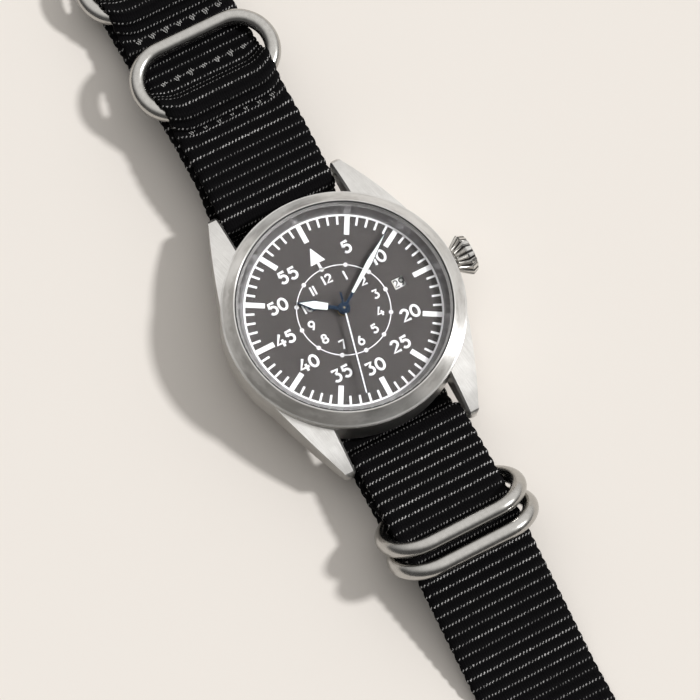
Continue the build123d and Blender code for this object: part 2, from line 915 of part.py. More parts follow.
# Third wheel
with BuildPart() as third_wheel:
    wheel(
        third_teeth,
        third_module,
        third_bottom,
        third_bottom + wheel_thickness,
        third_place,
        third_angle + 180,
    )
    crossings(
        arbor_radius * 2,
        third_teeth * third_module / 2 - wheel_rim,
        third_bottom,
        third_bottom + wheel_thickness,
        third_place,
        wheel_arms,
        wheel_arm_width,
    )
    wheel(
        train_pinion_leaves,
        centre_module,
        centre_bottom - shake_gap,
        arbor_top,
        third_place,
        third_angle + 180 + 180 / train_pinion_leaves,
    )
    pivots(arbor_bottom, arbor_top, third_place)
save(third_wheel, "third_wheel")

# Centre wheel: a hollow arbor round the seconds arbor, turned by the barrel
centre_tube_top = dial_top + hour_hand_lift
with BuildPart() as centre_wheel:
    wheel(
        wheel_teeth,
        centre_module,
        centre_bottom,
        centre_bottom + wheel_thickness,
        (0, 0),
        third_angle,
    )
    crossings(
        2 * centre_tube_radius,
        wheel_teeth * centre_module / 2 - wheel_rim,
        centre_bottom,
        centre_bottom + wheel_thickness,
        (0, 0),
        wheel_arms,
        wheel_arm_width,
    )
    wheel(
        train_pinion_leaves,
        barrel_module,
        centre_bottom - 2 * pinion_length,
        centre_bottom,
        (0, 0),
        barrel_angle + 180 / train_pinion_leaves,
    )
    post(centre_tube_radius, centre_bottom, centre_tube_top)
    post(
        centre_tube_bore,
        third_bottom,
        centre_tube_top + overrun,
        mode=Mode.SUBTRACT,
    )
save(centre_wheel, "centre_wheel")

# Barrel, its spring, and the arbor that the ratchet wheel turns
barrel_bottom = bridge_top + barrel_lift
barrel_top = barrel_bottom + barrel_height
barrel_root = barrel_teeth * barrel_module / 2 - dedendum_share * barrel_module
with BuildPart() as mainspring_barrel:
    post(barrel_root - shake_gap, barrel_bottom, barrel_top, barrel_place)
    wheel(
        barrel_teeth,
        barrel_module,
        barrel_top - barrel_tooth_height,
        barrel_top,
        barrel_place,
        barrel_angle + 180,
    )
    post(
        barrel_root - shake_gap - barrel_wall,
        barrel_bottom + barrel_wall,
        barrel_top - barrel_wall,
        barrel_place,
        mode=Mode.SUBTRACT,
    )
    post(
        barrel_arbor_radius + running_gap,
        barrel_bottom - overrun,
        barrel_top + overrun,
        barrel_place,
        mode=Mode.SUBTRACT,
    )
save(mainspring_barrel, "mainspring_barrel")

with BuildPart() as mainspring:
    spring_outer = barrel_root - shake_gap - barrel_wall - mainspring_strip
    slab(
        spiral_outline(
            barrel_arbor_radius + 3 * mainspring_strip,
            spring_outer,
            mainspring_turns,
            mainspring_strip,
            barrel_place,
        ),
        barrel_bottom + barrel_wall + shake_gap,
        barrel_top - barrel_wall - shake_gap,
    )
save(mainspring, "mainspring")

ratchet_top = bridge_bottom - ratchet_gap
ratchet_bottom = ratchet_top - ratchet_thickness
with BuildPart() as barrel_arbor:
    post(barrel_arbor_radius, ratchet_bottom, barrel_top + shake_gap, barrel_place)
save(barrel_arbor, "barrel_arbor")

ratchet_facing = angle_between(barrel_place, crown_wheel_place)
with BuildPart() as ratchet_wheel:
    wheel(
        ratchet_teeth,
        winding_module,
        ratchet_bottom,
        ratchet_top,
        barrel_place,
        ratchet_facing,
    )
    post(
        barrel_arbor_radius + seat_gap,
        ratchet_bottom - overrun,
        ratchet_top + overrun,
        barrel_place,
        mode=Mode.SUBTRACT,
    )
save(ratchet_wheel, "ratchet_wheel")

with BuildPart() as crown_wheel:
    wheel(
        crown_wheel_teeth,
        winding_module,
        ratchet_bottom,
        ratchet_top,
        crown_wheel_place,
        ratchet_facing + 180 + 180 / crown_wheel_teeth,
    )
    post(
        crown_wheel_screw_radius + running_gap,
        ratchet_bottom - overrun,
        ratchet_top + overrun,
        crown_wheel_place,
        mode=Mode.SUBTRACT,
    )
save(crown_wheel, "crown_wheel")

# Escape wheel, with slanted teeth
escape_bottom = bridge_top + escape_lift
with BuildPart() as escape_wheel:
    escape_points = []
    for tooth in range(escape_teeth):
        start = tooth * 360 / escape_teeth
        for radius, share in (
            (escape_radius - escape_tooth_depth, 0),
            (escape_radius, escape_back_share),
            (escape_radius, escape_tip_share),
            (escape_radius - escape_tooth_depth, escape_front_share),
        ):
            x, y = polar(radius, start + share * 360 / escape_teeth)
            escape_points.append((escape_place[0] + x, escape_place[1] + y))
    slab(escape_points, escape_bottom, escape_bottom + wheel_thickness)
    crossings(
        arbor_radius * 2,
        escape_radius - escape_tooth_depth - wheel_rim / 2,
        escape_bottom,
        escape_bottom + wheel_thickness,
        escape_place,
        wheel_arms,
        wheel_arm_width,
    )
    wheel(
        escape_pinion_leaves,
        escape_module,
        arbor_bottom,
        fourth_bottom + wheel_thickness + shake_gap,
        escape_place,
        escape_angle + 180 + 180 / escape_pinion_leaves,
    )
    pivots(arbor_bottom, arbor_top, escape_place)
save(escape_wheel, "escape_wheel")

# Pallet fork, drawn with its stones just clear of the tooth tips
with BuildPart() as pallet_fork:
    fork_tip = fork_to_balance - roller_pin_place_radius - roller_pin_radius - shake_gap
    fork_plane = Plane(
        (fork_place[0], fork_place[1], escape_bottom),
        x_dir=(cos(radians(escape_to_balance)), sin(radians(escape_to_balance)), 0),
        z_dir=(0, 0, 1),
    )
    with BuildSketch(fork_plane):
        Circle(2 * arbor_radius)
        with Locations((fork_tip / 2, 0)):
            Rectangle(fork_tip, fork_width)
        with Locations((fork_tip - fork_horn_width / 2, 0)):
            Rectangle(fork_horn_width, 2 * fork_horn_width)
        with Locations((fork_tip, 0)):
            Rectangle(fork_horn_width, fork_width, mode=Mode.SUBTRACT)
        # Each stone stands outside the wheel's tips, on its own arm.
        for side in (1, -1):
            stone_radius = escape_radius + pallet_gap + pallet_length / 2
            stone = polar(stone_radius, side * pallet_angle)
            with Locations((stone[0] - fork_distance, stone[1])):
                Rectangle(pallet_length, pallet_width, rotation=side * pallet_angle)
            arm_start = (stone[0] - fork_distance, stone[1])
            arm_length = hypot(*arm_start)
            arm_angle = degrees(atan2(arm_start[1], arm_start[0]))
            with Locations((arm_start[0] / 2, arm_start[1] / 2)):
                Rectangle(arm_length, fork_width, rotation=arm_angle)
    extrude(amount=fork_thickness)
    pivots(arbor_bottom, arbor_top, fork_place)
save(pallet_fork, "pallet_fork")

# Balance wheel with its roller, and the hairspring
balance_bottom = bridge_top + balance_lift
with BuildPart() as balance_wheel:
    balance_top = balance_bottom + balance_thickness
    post(balance_radius, balance_bottom, balance_top, balance_place)
    crossings(
        balance_arm_width,
        balance_radius - balance_rim,
        balance_bottom,
        balance_top,
        balance_place,
        wheel_arms // 2,
        balance_arm_width,
    )
    pivots(arbor_bottom, arbor_top, balance_place)
    roller_top = escape_bottom - shake_gap
    post(roller_radius, balance_top, roller_top, balance_place)
    pin_angle = escape_to_balance + 180
    pin_step = polar(roller_pin_place_radius, pin_angle)
    pin_place = (balance_place[0] + pin_step[0], balance_place[1] + pin_step[1])
    post(roller_pin_radius, roller_top, escape_bottom + fork_thickness, pin_place)
save(balance_wheel, "balance_wheel")

with BuildPart() as hairspring:
    hairspring_bottom = bridge_top + hairspring_lift
    slab(
        spiral_outline(
            hairspring_inner,
            hairspring_outer,
            hairspring_turns,
            hairspring_strip,
            balance_place,
        ),
        hairspring_bottom,
        hairspring_bottom + wheel_thickness,
    )
    post(
        hairspring_inner + hairspring_strip / 2,
        hairspring_bottom,
        hairspring_bottom + wheel_thickness,
        balance_place,
    )
    post(
        arbor_radius + seat_gap,
        hairspring_bottom,
        hairspring_bottom + wheel_thickness,
        balance_place,
        mode=Mode.SUBTRACT,
    )
save(hairspring, "hairspring")

# Motion work: the cannon pinion and the minute wheel turn the hour wheel at a twelfth
motion_bottom = plate_top + motion_lift
hour_bottom = motion_bottom + wheel_thickness + shake_gap
minute_bottom = dial_top + minute_hand_lift
hour_hand_bottom = dial_top + hour_hand_lift
with BuildPart() as cannon_pinion:
    wheel(
        cannon_leaves,
        motion_module,
        motion_bottom,
        motion_bottom + wheel_thickness,
        (0, 0),
        motion_angle + 180 / cannon_leaves,
    )
    post(cannon_radius, motion_bottom, minute_bottom + hand_thickness)
    post(
        cannon_bore,
        motion_bottom - overrun,
        minute_bottom + overrun,
        mode=Mode.SUBTRACT,
    )
save(cannon_pinion, "cannon_pinion")

with BuildPart() as minute_wheel:
    wheel(
        minute_wheel_teeth,
        motion_module,
        motion_bottom,
        motion_bottom + wheel_thickness,
        minute_wheel_place,
        motion_angle + 180,
    )
    wheel(
        minute_pinion_leaves,
        motion_module,
        motion_bottom,
        hour_bottom + wheel_thickness,
        minute_wheel_place,
        motion_angle + 180 + 180 / minute_pinion_leaves,
    )
    post(
        arbor_radius + running_gap,
        motion_bottom - overrun,
        hour_bottom + overrun,
        minute_wheel_place,
        mode=Mode.SUBTRACT,
    )
save(minute_wheel, "minute_wheel")

with BuildPart() as hour_wheel:
    wheel(
        hour_wheel_teeth,
        motion_module,
        hour_bottom,
        hour_bottom + wheel_thickness,
        (0, 0),
        motion_angle,
    )
    post(hour_tube_radius, hour_bottom, hour_hand_bottom + hand_thickness)
    post(
        hour_tube_bore,
        hour_bottom - overrun,
        hour_hand_bottom + overrun,
        mode=Mode.SUBTRACT,
    )
save(hour_wheel, "hour_wheel")

# Date ring, toothed inside
with BuildPart() as date_ring:
    date_bottom = plate_top + date_ring_lift
    date_top = date_bottom + date_ring_thickness
    post(date_ring_outer, date_bottom, date_top)
    slab(
        gear_outline(date_ring_teeth, date_ring_inner - date_tooth_depth, date_ring_inner),
        date_bottom - overrun,
        date_top + overrun,
        mode=Mode.SUBTRACT,
    )
save(date_ring, "date_ring")


def hand_outline(length, shank_width, blade_width, shares, clock_angle):
    """A shank that widens to a pointed blade, at an angle clockwise from 12 o'clock."""
    half = [
        (0, shank_width / 2),
        (shares[0] * length, shank_width / 2),
        (shares[1] * length, blade_width / 2),
        (length, 0),
    ]
    outline = half + [(along, -across) for along, across in half[2::-1]]
    turn = radians(90 - clock_angle)
    return [
        (along * cos(turn) - across * sin(turn), along * sin(turn) + across * cos(turn))
        for along, across in outline
    ]


# Hands
with BuildPart() as hour_hand:
    top = hour_hand_bottom + hand_thickness
    blade = hand_outline(
        hour_hand_length,
        hour_shank_width,
        hour_blade_width,
        hour_blade_shares,
        hour_hand_clock_angle,
    )
    slab(blade, hour_hand_bottom, top)
    post(hand_hub_radius, hour_hand_bottom, top)
    post(hour_tube_radius + seat_gap, hour_hand_bottom, top, mode=Mode.SUBTRACT)
save(hour_hand, "hour_hand")

with BuildPart() as minute_hand:
    top = minute_bottom + hand_thickness
    blade = hand_outline(
        minute_hand_length,
        minute_shank_width,
        minute_blade_width,
        minute_blade_shares,
        minute_hand_clock_angle,
    )
    slab(blade, minute_bottom, top)
    post(hand_hub_radius, minute_bottom, top)
    post(cannon_radius + seat_gap, minute_bottom, top, mode=Mode.SUBTRACT)
save(minute_hand, "minute_hand")

with BuildPart() as seconds_hand:
    top = seconds_bottom + hand_thickness
    turn = 90 - seconds_hand_clock_angle
    needle_plane = Plane((0, 0, seconds_bottom), x_dir=(*polar(1, turn), 0), z_dir=(0, 0, 1))
    with BuildSketch(needle_plane):
        with Locations(((seconds_hand_length - seconds_tail) / 2, 0)):
            Rectangle(seconds_hand_length + seconds_tail, seconds_width)
        Circle(seconds_hub_radius)
    extrude(amount=hand_thickness)
    post(pivot_radius + seat_gap, seconds_bottom, top, mode=Mode.SUBTRACT)
save(seconds_hand, "seconds_hand")

# Rotor: a half disc with a heavy rim, turning on a bearing under the bridge
bearing_radius = crown_wheel_screw_radius + 3 * arbor_radius
with BuildPart() as rotor:
    hub_radius = bearing_radius + rotor_web * 2
    post(rotor_radius, rotor_bottom, rotor_bottom + rotor_web)
    post(rotor_radius, rotor_bottom + rotor_web, rotor_bottom + rotor_rim_height)
    post(
        rotor_radius - rotor_rim_width,
        rotor_bottom + rotor_web,
        rotor_bottom + rotor_rim_height + overrun,
        mode=Mode.SUBTRACT,
    )
    with Locations((0, 0, rotor_bottom)):
        Box(
            2 * rotor_radius,
            rotor_radius,
            2 * rotor_rim_height,
            align=(Align.CENTER, Align.MIN, Align.CENTER),
            mode=Mode.SUBTRACT,
        )
    post(hub_radius, rotor_bottom, rotor_bottom + rotor_web)
    post(
        bearing_radius + running_gap,
        rotor_bottom - overrun,
        rotor_bottom + rotor_web + overrun,
        mode=Mode.SUBTRACT,
    )
save(rotor, "rotor")

with BuildPart() as rotor_bearing:
    flange_top = rotor_bottom - shake_gap
    post(bearing_radius, flange_top, bridge_bottom)
    post(bearing_radius + rotor_web, flange_top - rotor_web / 2, flange_top)
save(rotor_bearing, "rotor_bearing")


# Crown: a fluted cone that flares from its neck, and a notched band round its end
def round_crown(start, end, lift):
    """Places round the crown at the middle of a slope, facing along it, lifted off it."""
    slope = atan2(end[1] - start[1], end[0] - start[0])
    middle_x = (start[0] + end[0]) / 2 - lift * sin(slope)
    middle_radius = (start[1] + end[1]) / 2 + lift * cos(slope)
    places = []
    for flute in range(crown_flutes):
        turn = radians(flute * 360 / crown_flutes)
        along = Vector(cos(slope), sin(slope) * cos(turn), sin(slope) * sin(turn))
        outward = Vector(-sin(slope), cos(slope) * cos(turn), cos(slope) * sin(turn))
        middle = (
            middle_x,
            middle_radius * cos(turn),
            crown_height + middle_radius * sin(turn),
        )
        places.append(Location(Plane(middle, x_dir=outward, z_dir=along)))
    return places


crown_end = crown_start + crown_length
crown_widest = crown_start + crown_widest_share * crown_length
with BuildPart() as crown:
    turned_on_stem(
        (
            (crown_start, 0),
            (crown_start, crown_neck_radius),
            (crown_widest - crown_rim, crown_widest_radius - crown_rim / 2),
            (crown_widest, crown_widest_radius),
            (crown_widest + crown_rim, crown_widest_radius - crown_rim / 2),
            (crown_end, crown_end_radius),
            (crown_end, 0),
        )
    )
    turned_on_stem(
        (
            (crown_start - overrun, 0),
            (crown_start - overrun, crown_bore_radius),
            (crown_start + crown_bore_depth, crown_bore_radius),
            (crown_start + crown_bore_depth, stem_radius + seat_gap),
            (stem_end + seat_gap, stem_radius + seat_gap),
            (stem_end + seat_gap, 0),
        ),
        mode=Mode.SUBTRACT,
    )
    neck = (crown_start, crown_neck_radius)
    widest = (crown_widest, crown_widest_radius)
    band_end = (crown_end, crown_end_radius)
    with Locations(*round_crown(neck, widest, crown_flute_radius - crown_flute_depth)):
        Cylinder(crown_flute_radius, 2 * crown_length, mode=Mode.SUBTRACT)
    band_length = hypot(crown_end - crown_widest, crown_widest_radius - crown_end_radius)
    with Locations(*round_crown(widest, band_end, 0)):
        Box(
            2 * crown_notch_depth,
            crown_notch_width,
            band_length + crown_rim,
            mode=Mode.SUBTRACT,
        )
save(crown, "crown")

with BuildPart() as crown_gasket:
    gasket_outer = crown_bore_radius - seat_gap
    gasket_inner = crown_tube_radius + seat_gap
    gasket_start = crown_start + 2 * shake_gap
    turned_on_stem(
        (
            (gasket_start, gasket_inner),
            (gasket_start, gasket_outer),
            (gasket_start + gasket_size, gasket_outer),
            (gasket_start + gasket_size, gasket_inner),
        )
    )
save(crown_gasket, "crown_gasket")

with BuildPart() as crown_tube:
    turned_on_stem(
        (
            (crown_tube_start, crown_tube_bore),
            (crown_tube_start, crown_tube_radius),
            (crown_tube_end, crown_tube_radius),
            (crown_tube_end, crown_tube_bore),
        )
    )
save(crown_tube, "crown_tube")

with BuildPart() as winding_stem:
    turned_on_stem(
        (
            (stem_start, 0),
            (stem_start, stem_square_radius),
            (stem_shoulder, stem_square_radius),
            (stem_shoulder, stem_radius),
            (stem_end, stem_radius),
            (stem_end, 0),
        )
    )
save(winding_stem, "winding_stem")


def stem_pinion(start, length):
    """A toothed sleeve that turns with the stem's thin end."""
    with BuildSketch(Plane((start, 0, crown_height), x_dir=(0, 1, 0), z_dir=(1, 0, 0))) as end:
        root_radius = winding_pinion_radius - winding_module * 2
        teeth = gear_outline(winding_pinion_teeth, root_radius, winding_pinion_radius)
        Polygon(*teeth, align=None)
        Circle(stem_square_radius + running_gap, mode=Mode.SUBTRACT)
    extrude(end.sketch, amount=length)


with BuildPart() as winding_pinion:
    stem_pinion(winding_pinion_start, winding_pinion_length)
save(winding_pinion, "winding_pinion")

with BuildPart() as sliding_pinion:
    stem_pinion(sliding_pinion_start, sliding_pinion_length)
save(sliding_pinion, "sliding_pinion")

# Spring bars: a tube, a spring and a sprung plunger at each end
with BuildPart() as spring_bar_tubes:
    for side in (1, -1):
        with Locations(Plane((0, side * bar_place, bar_height), z_dir=(1, 0, 0))):
            Cylinder(bar_radius, lug_gap - 2 * bar_end_gap)
            Cylinder(bar_bore, lug_gap, mode=Mode.SUBTRACT)
save(spring_bar_tubes, "spring_bar_tubes")

plunger_start = inner_lug - bar_end_gap - plunger_length
with BuildPart() as spring_bar_springs:
    for side in (1, -1):
        with Locations(Plane((0, side * bar_place, bar_height), z_dir=(1, 0, 0))):
            spring_length = 2 * (plunger_start - plunger_travel - shake_gap)
            Cylinder(bar_spring_radius, spring_length)
            Cylinder(bar_spring_bore, spring_length, mode=Mode.SUBTRACT)
save(spring_bar_springs, "spring_bar_springs")


def plunger(hand_side, lug_side):
    """A plunger in the tube's end, with its thin tip in the lug's hole."""
    direction = (hand_side, 0, 0)
    with BuildPart() as piece:
        base = Plane((hand_side * plunger_start, lug_side * bar_place, bar_height), z_dir=direction)
        with BuildSketch(base):
            Circle(plunger_radius)
        extrude(amount=plunger_length)
        with BuildSketch(base.offset(plunger_length)):
            Circle(plunger_tip_radius)
        extrude(amount=bar_end_gap + plunger_tip_length)
    return piece


for side_name, hand_side in (("right", 1), ("left", -1)):
    for end_name, lug_side in (("12", 1), ("6", -1)):
        save(plunger(hand_side, lug_side), f"plunger_{end_name}_{side_name}")


# Strap
def on_slope(place, rise):
    """The point at a rise above the sloping strap's middle, over a place along it."""
    level = upper_layer + (buckle_foot - place) * tan(radians(strap_slope))
    return place + rise * sin(radians(strap_slope)), level + rise * cos(radians(strap_slope))


def ring_sweep(bar_centre, angles):
    """The space that a ring's bends sweep as it swings about its lower bar."""
    first_angle, last_angle = angles
    bar = Plane((0, *bar_centre), x_dir=(1, 0, 0), z_dir=(0, 0, 1))
    with BuildSketch(bar.rotated((first_angle, 0, 0))) as bends:
        for side in (1, -1):
            with Locations((side * ring_straight, ring_bend)):
                Circle(ring_bend + wire_radius + strap_bar_gap)
                Circle(ring_bend - wire_radius - strap_bar_gap, mode=Mode.SUBTRACT)
        Rectangle(
            2 * ring_length,
            ring_bend,
            align=(Align.CENTER, Align.MIN),
            mode=Mode.INTERSECT,
        )
        Rectangle(2 * ring_straight, 2 * ring_height, mode=Mode.SUBTRACT)
    with BuildPart() as space:
        revolve(
            bends.sketch,
            axis=Axis((0, *bar_centre), (1, 0, 0)),
            revolution_arc=last_angle - first_angle,
        )
    return space.part


def webbing(route, radii):
    """A flat strap that follows a route of (y, z) points, bent at each corner."""
    with BuildLine(Plane.YZ) as path:
        FilletPolyline(*route, radius=radii)
    start = path.wire() @ 0
    ahead = path.wire() % 0
    section_plane = Plane((strap_shift, start.Y, start.Z), x_dir=(1, 0, 0), z_dir=ahead)
    with BuildSketch(section_plane) as section:
        Rectangle(strap_width, strap_thickness)
    sweep(section.sketch, path=path.wire())


def hump(place):
    """The sloping route over a keeper's bar, from the buckle's side to the case's side."""
    along = cos(radians(strap_slope))
    down = sin(radians(strap_slope))
    middle, level = on_slope(place, 0)
    top, top_level = on_slope(place, hump_rise)
    foot = hump_half_top + hump_rise
    return [
        (middle + foot * along, level - foot * down),
        (top + hump_half_top * along, top_level - hump_half_top * down),
        (top - hump_half_top * along, top_level + hump_half_top * down),
        (middle - foot * along, level + foot * down),
    ]


hump_radii = [strap_fold_radius, hump_radius, hump_radius, strap_fold_radius]
bar_turn = bar_radius + strap_bar_gap + strap_thickness / 2
bar_top = bar_height + bar_turn
bar_inner = bar_place - bar_turn
bar_outer = bar_place + bar_turn / 2
over_loops = hump_top + strap_thickness + strap_lift_over_loops
keeper_bars = [on_slope(place, wire_height - upper_layer) for place in keeper_places]
loop_bars = [(place, wire_height) for place in loop_places]
buckle_bar = (buckle_place, wire_height)
with BuildPart() as main_strap:
    route = [(strap_fold_end, lower_layer)]
    radii = []
    route += [
        (buckle_place + hump_radius, lower_layer),
        (buckle_place + hump_radius, hump_top),
        (buckle_place - hump_half_top, hump_top),
        (buckle_foot, upper_layer),
    ]
    radii += [
        hump_radius - seat_gap,
        hump_radius - seat_gap,
        hump_radius,
        strap_fold_radius,
    ]
    for keeper in keeper_places:
        route += hump(keeper)
        radii += hump_radii
    route += [
        (strap_arch_place, strap_arch_height),
        (bar_outer, bar_top),
        (bar_inner, bar_top),
        (bar_inner, upper_layer),
        (-bar_inner, upper_layer),
        (-bar_inner, bar_top),
        (-bar_outer, bar_top),
    ]
    radii += [
        strap_arch_radius,
        bar_turn - seat_gap,
        bar_turn - seat_gap,
        strap_fold_radius,
        strap_fold_radius,
        bar_turn - seat_gap,
        bar_turn - seat_gap,
    ]
    loop_start, loop_end = loop_places
    route += [
        (loop_start + hump_radius, over_loops),
        (loop_end - hump_radius, over_loops),
        (-strap_foot_6, lower_layer),
        (-strap_tail_end, lower_layer),
    ]
    radii += [strap_bend_radius, strap_bend_radius, strap_bend_radius]
    webbing(route, radii)
    tip_edges = (
        main_strap.edges().filter_by(Axis.Z).filter_by(lambda edge: edge.center().Y < -strap_foot_6)
    )
    fillet(tip_edges, radius=strap_tip_radius)
    for hole in range(hole_count):
        place = (strap_shift, -hole_first - hole * hole_pitch)
        post(hole_radius, -overrun, strap_thickness + overrun, place, mode=Mode.SUBTRACT)
    for keeper_bar in keeper_bars:
        add(ring_sweep(keeper_bar, ring_sweep_angles), mode=Mode.SUBTRACT)
    add(ring_sweep(buckle_bar, buckle_sweep_angles), mode=Mode.SUBTRACT)
    # The slot that the tongue swings in
    slot_width = tongue_width + 2 * tongue_slot_gap
    with Locations((0, buckle_place - tongue_slot_length, wire_height - wire_radius)):
        Box(
            slot_width,
            tongue_slot_length + ring_bend,
            ring_height,
            align=(Align.CENTER, Align.MIN, Align.MIN),
            mode=Mode.SUBTRACT,
        )
    with Locations((0, buckle_place, wire_height)):
        Box(
            slot_width,
            2 * (hump_radius + strap_thickness),
            2 * (hump_radius + strap_thickness),
            mode=Mode.SUBTRACT,
        )
save(main_strap, "main_strap")

under_strap_drop = upper_layer - lower_layer
with BuildPart() as under_strap:
    webbing(
        [
            on_slope(under_strap_start, -under_strap_drop),
            on_slope(bar_place + under_strap_join_reach, -under_strap_drop),
            (bar_place + under_strap_arch_reach, under_strap_arch_height),
            (bar_place + under_strap_rise_reach, lower_layer),
            (loop_end - hump_radius, lower_layer),
            (loop_end - hump_radius, hump_top),
            (loop_start + hump_half_top, hump_top),
            (loop_start + hump_half_top + hump_top - upper_layer, upper_layer),
            (-under_strap_end, upper_layer),
        ],
        [
            strap_bend_radius,
            strap_bend_radius,
            strap_bend_radius,
            hump_radius - seat_gap,
            hump_radius - seat_gap,
            hump_radius,
            strap_fold_radius,
        ],
    )
    for loop_bar in loop_bars:
        add(ring_sweep(loop_bar, ring_sweep_angles), mode=Mode.SUBTRACT)
save(under_strap, "under_strap")


def wire_ring(bar_centre, tilt):
    """A long oval ring of round wire, swung up by its tilt about its lower bar."""
    bar = Plane((0, *bar_centre), x_dir=(1, 0, 0), z_dir=(0, 0, 1)).rotated((tilt, 0, 0))
    with BuildPart() as ring:
        with BuildLine(bar) as oval:
            Line((-ring_straight, 0), (ring_straight, 0))
            ThreePointArc(
                (ring_straight, 0),
                (ring_straight + ring_bend, ring_bend),
                (ring_straight, ring_reach),
            )
            Line((ring_straight, ring_reach), (-ring_straight, ring_reach))
            ThreePointArc(
                (-ring_straight, ring_reach),
                (-ring_straight - ring_bend, ring_bend),
                (-ring_straight, 0),
            )
        start = oval.wire() @ 0
        with BuildSketch(Plane(start, z_dir=oval.wire() % 0)) as section:
            Circle(wire_radius)
        sweep(section.sketch, path=oval.wire())
    return ring


save(wire_ring(keeper_bars[0], keeper_tilt), "keeper_ring_outer")
save(wire_ring(keeper_bars[1], keeper_tilt), "keeper_ring_inner")
save(wire_ring(loop_bars[0], 180 - loop_tilt), "loop_ring_inner")
save(wire_ring(loop_bars[1], 180 - loop_tilt), "loop_ring_outer")
save(wire_ring(buckle_bar, buckle_tilt), "buckle_frame")

# Buckle tongue: an eye round the frame's bar and a pin that rests over the far bar
with BuildPart() as buckle_tongue:
    eye_bore = wire_radius + running_gap
    eye_radius = wire_radius + tongue_eye_wall
    frame_plane = Plane(
        (-tongue_width / 2, buckle_place, wire_height),
        x_dir=(0, cos(radians(buckle_tilt)), sin(radians(buckle_tilt))),
        z_dir=(1, 0, 0),
    )
    pin_rise = degrees(asin((wire_radius + running_gap + tongue_thickness / 2) / ring_reach))
    with BuildSketch(frame_plane):
        Circle(eye_radius)
        with Locations(Rotation(0, 0, pin_rise)):
            Rectangle(
                ring_reach + tongue_overhang,
                tongue_thickness,
                align=(Align.MIN, Align.CENTER),
            )
        Circle(eye_bore, mode=Mode.SUBTRACT)
    extrude(amount=tongue_width)
save(buckle_tongue, "buckle_tongue")
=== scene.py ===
"""Dresses the field watch: camera, light, webbing, dial print, lume and finishes."""

import json
from math import acos, atan2, ceil, cos, hypot, pi, radians, sin, sqrt, tan, tau

import bmesh
import bpy
from mathutils import Matrix, Vector


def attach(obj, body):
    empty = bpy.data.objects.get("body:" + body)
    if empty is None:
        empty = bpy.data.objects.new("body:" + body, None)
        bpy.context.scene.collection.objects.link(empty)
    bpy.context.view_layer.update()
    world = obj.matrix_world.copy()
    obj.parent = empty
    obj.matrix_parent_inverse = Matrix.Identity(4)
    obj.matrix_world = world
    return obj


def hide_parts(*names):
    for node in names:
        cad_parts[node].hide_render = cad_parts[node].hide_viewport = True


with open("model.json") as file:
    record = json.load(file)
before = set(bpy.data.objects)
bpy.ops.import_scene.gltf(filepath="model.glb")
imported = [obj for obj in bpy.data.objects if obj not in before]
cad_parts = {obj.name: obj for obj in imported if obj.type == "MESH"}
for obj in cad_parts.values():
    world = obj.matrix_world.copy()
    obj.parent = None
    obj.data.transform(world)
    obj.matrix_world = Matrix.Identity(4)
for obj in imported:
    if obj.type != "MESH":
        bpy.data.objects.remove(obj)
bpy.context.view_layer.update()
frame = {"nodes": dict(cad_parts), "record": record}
nodes = frame["nodes"]
record = frame["record"]

# Sizes in millimetres, as the source has them
mm = 0.001
dial_top = 10.3
print_height = 0.03
track_radius = 15.8
date_place = 9.8
date_ring_top = 9.7
crown_height = 7.4
crown_flutes = 18
strap_width = 19.6
strap_shift = -0.05
strap_thickness = 1.3
lower_layer = 0.65
upper_layer = 2.05
wire_height = 2.7
ring_straight = 5.8
ring_bend = 5.75
hump_radius = 2.05
hump_top = wire_height + hump_radius
hump_rise = hump_top - upper_layer
hump_half_top = hump_radius * tan(radians(22.5)) + 0.1
fold_radius = 1.6
bend_radius = 3.0
bar_turn = 1.5
bar_top = 6.9
bar_inner = 20.7
bar_outer = 22.95
over_loops = 7.45
strap_arch = (32.5, 8.5)
strap_arch_radius = 25
strap_foot_6 = 66.0
strap_fold_end = 70.9
strap_tail_end = 190.0
strap_tip_radius = 8.6
buckle_place = 80.0
buckle_foot = buckle_place - hump_half_top - hump_rise
strap_slope = atan2(strap_arch[1] - upper_layer, buckle_foot - strap_arch[0])
keeper_places = (60.8, 41.05)
loop_places = (-31.9, -35.8)
loop_angle = radians(132)
under_strap_start = 68.3
under_strap_join = 36.6
under_strap_arch = (29.5, 5.9)
under_strap_rise = 25.2
under_strap_end = 24.5
under_strap_lean = -0.7
hole_radius = 1.05
hole_first = 72.0
hole_pitch = 8.5
hole_count = 13
slot_half = 1.25
slot_over = 74.8
slot_under = 76.65
rib_pitch = 1.8


# Camera, at the photograph's viewing angle
camera_azimuth = radians(-38.2)
camera_height = radians(72.6)
camera_roll = radians(10.57)
camera_distance = 650
camera_lens = 213
dial_pixel = (343.8, 310.0)
image_side = 700
back = Vector(
    (
        sin(camera_azimuth) * cos(camera_height),
        -cos(camera_azimuth) * cos(camera_height),
        sin(camera_height),
    )
)
level_right = Vector((cos(camera_azimuth), sin(camera_azimuth), 0))
level_up = back.cross(level_right)
right = level_right * cos(camera_roll) + level_up * sin(camera_roll)
up = back.cross(right)
camera_data = bpy.data.cameras.new("camera")
camera_data.lens = camera_lens
camera_data.shift_x = 0.5 - dial_pixel[0] / image_side
camera_data.shift_y = dial_pixel[1] / image_side - 0.5
camera_data.clip_start = 0.01
camera_data.clip_end = 20
camera = bpy.data.objects.new("camera", camera_data)
bpy.context.collection.objects.link(camera)
camera.matrix_world = Matrix.Translation(
    Vector((0, 0, dial_top * mm)) + back * camera_distance * mm
) @ Matrix((right, up, back)).transposed().to_4x4()
bpy.context.scene.camera = camera
bpy.context.scene.view_settings.view_transform = "Standard"


# Working by hand
def start_clean():
    """Leaves edit mode and selects nothing."""
    if bpy.context.object and bpy.context.object.mode != "OBJECT":
        bpy.ops.object.mode_set(mode="OBJECT")
    bpy.ops.object.select_all(action="DESELECT")


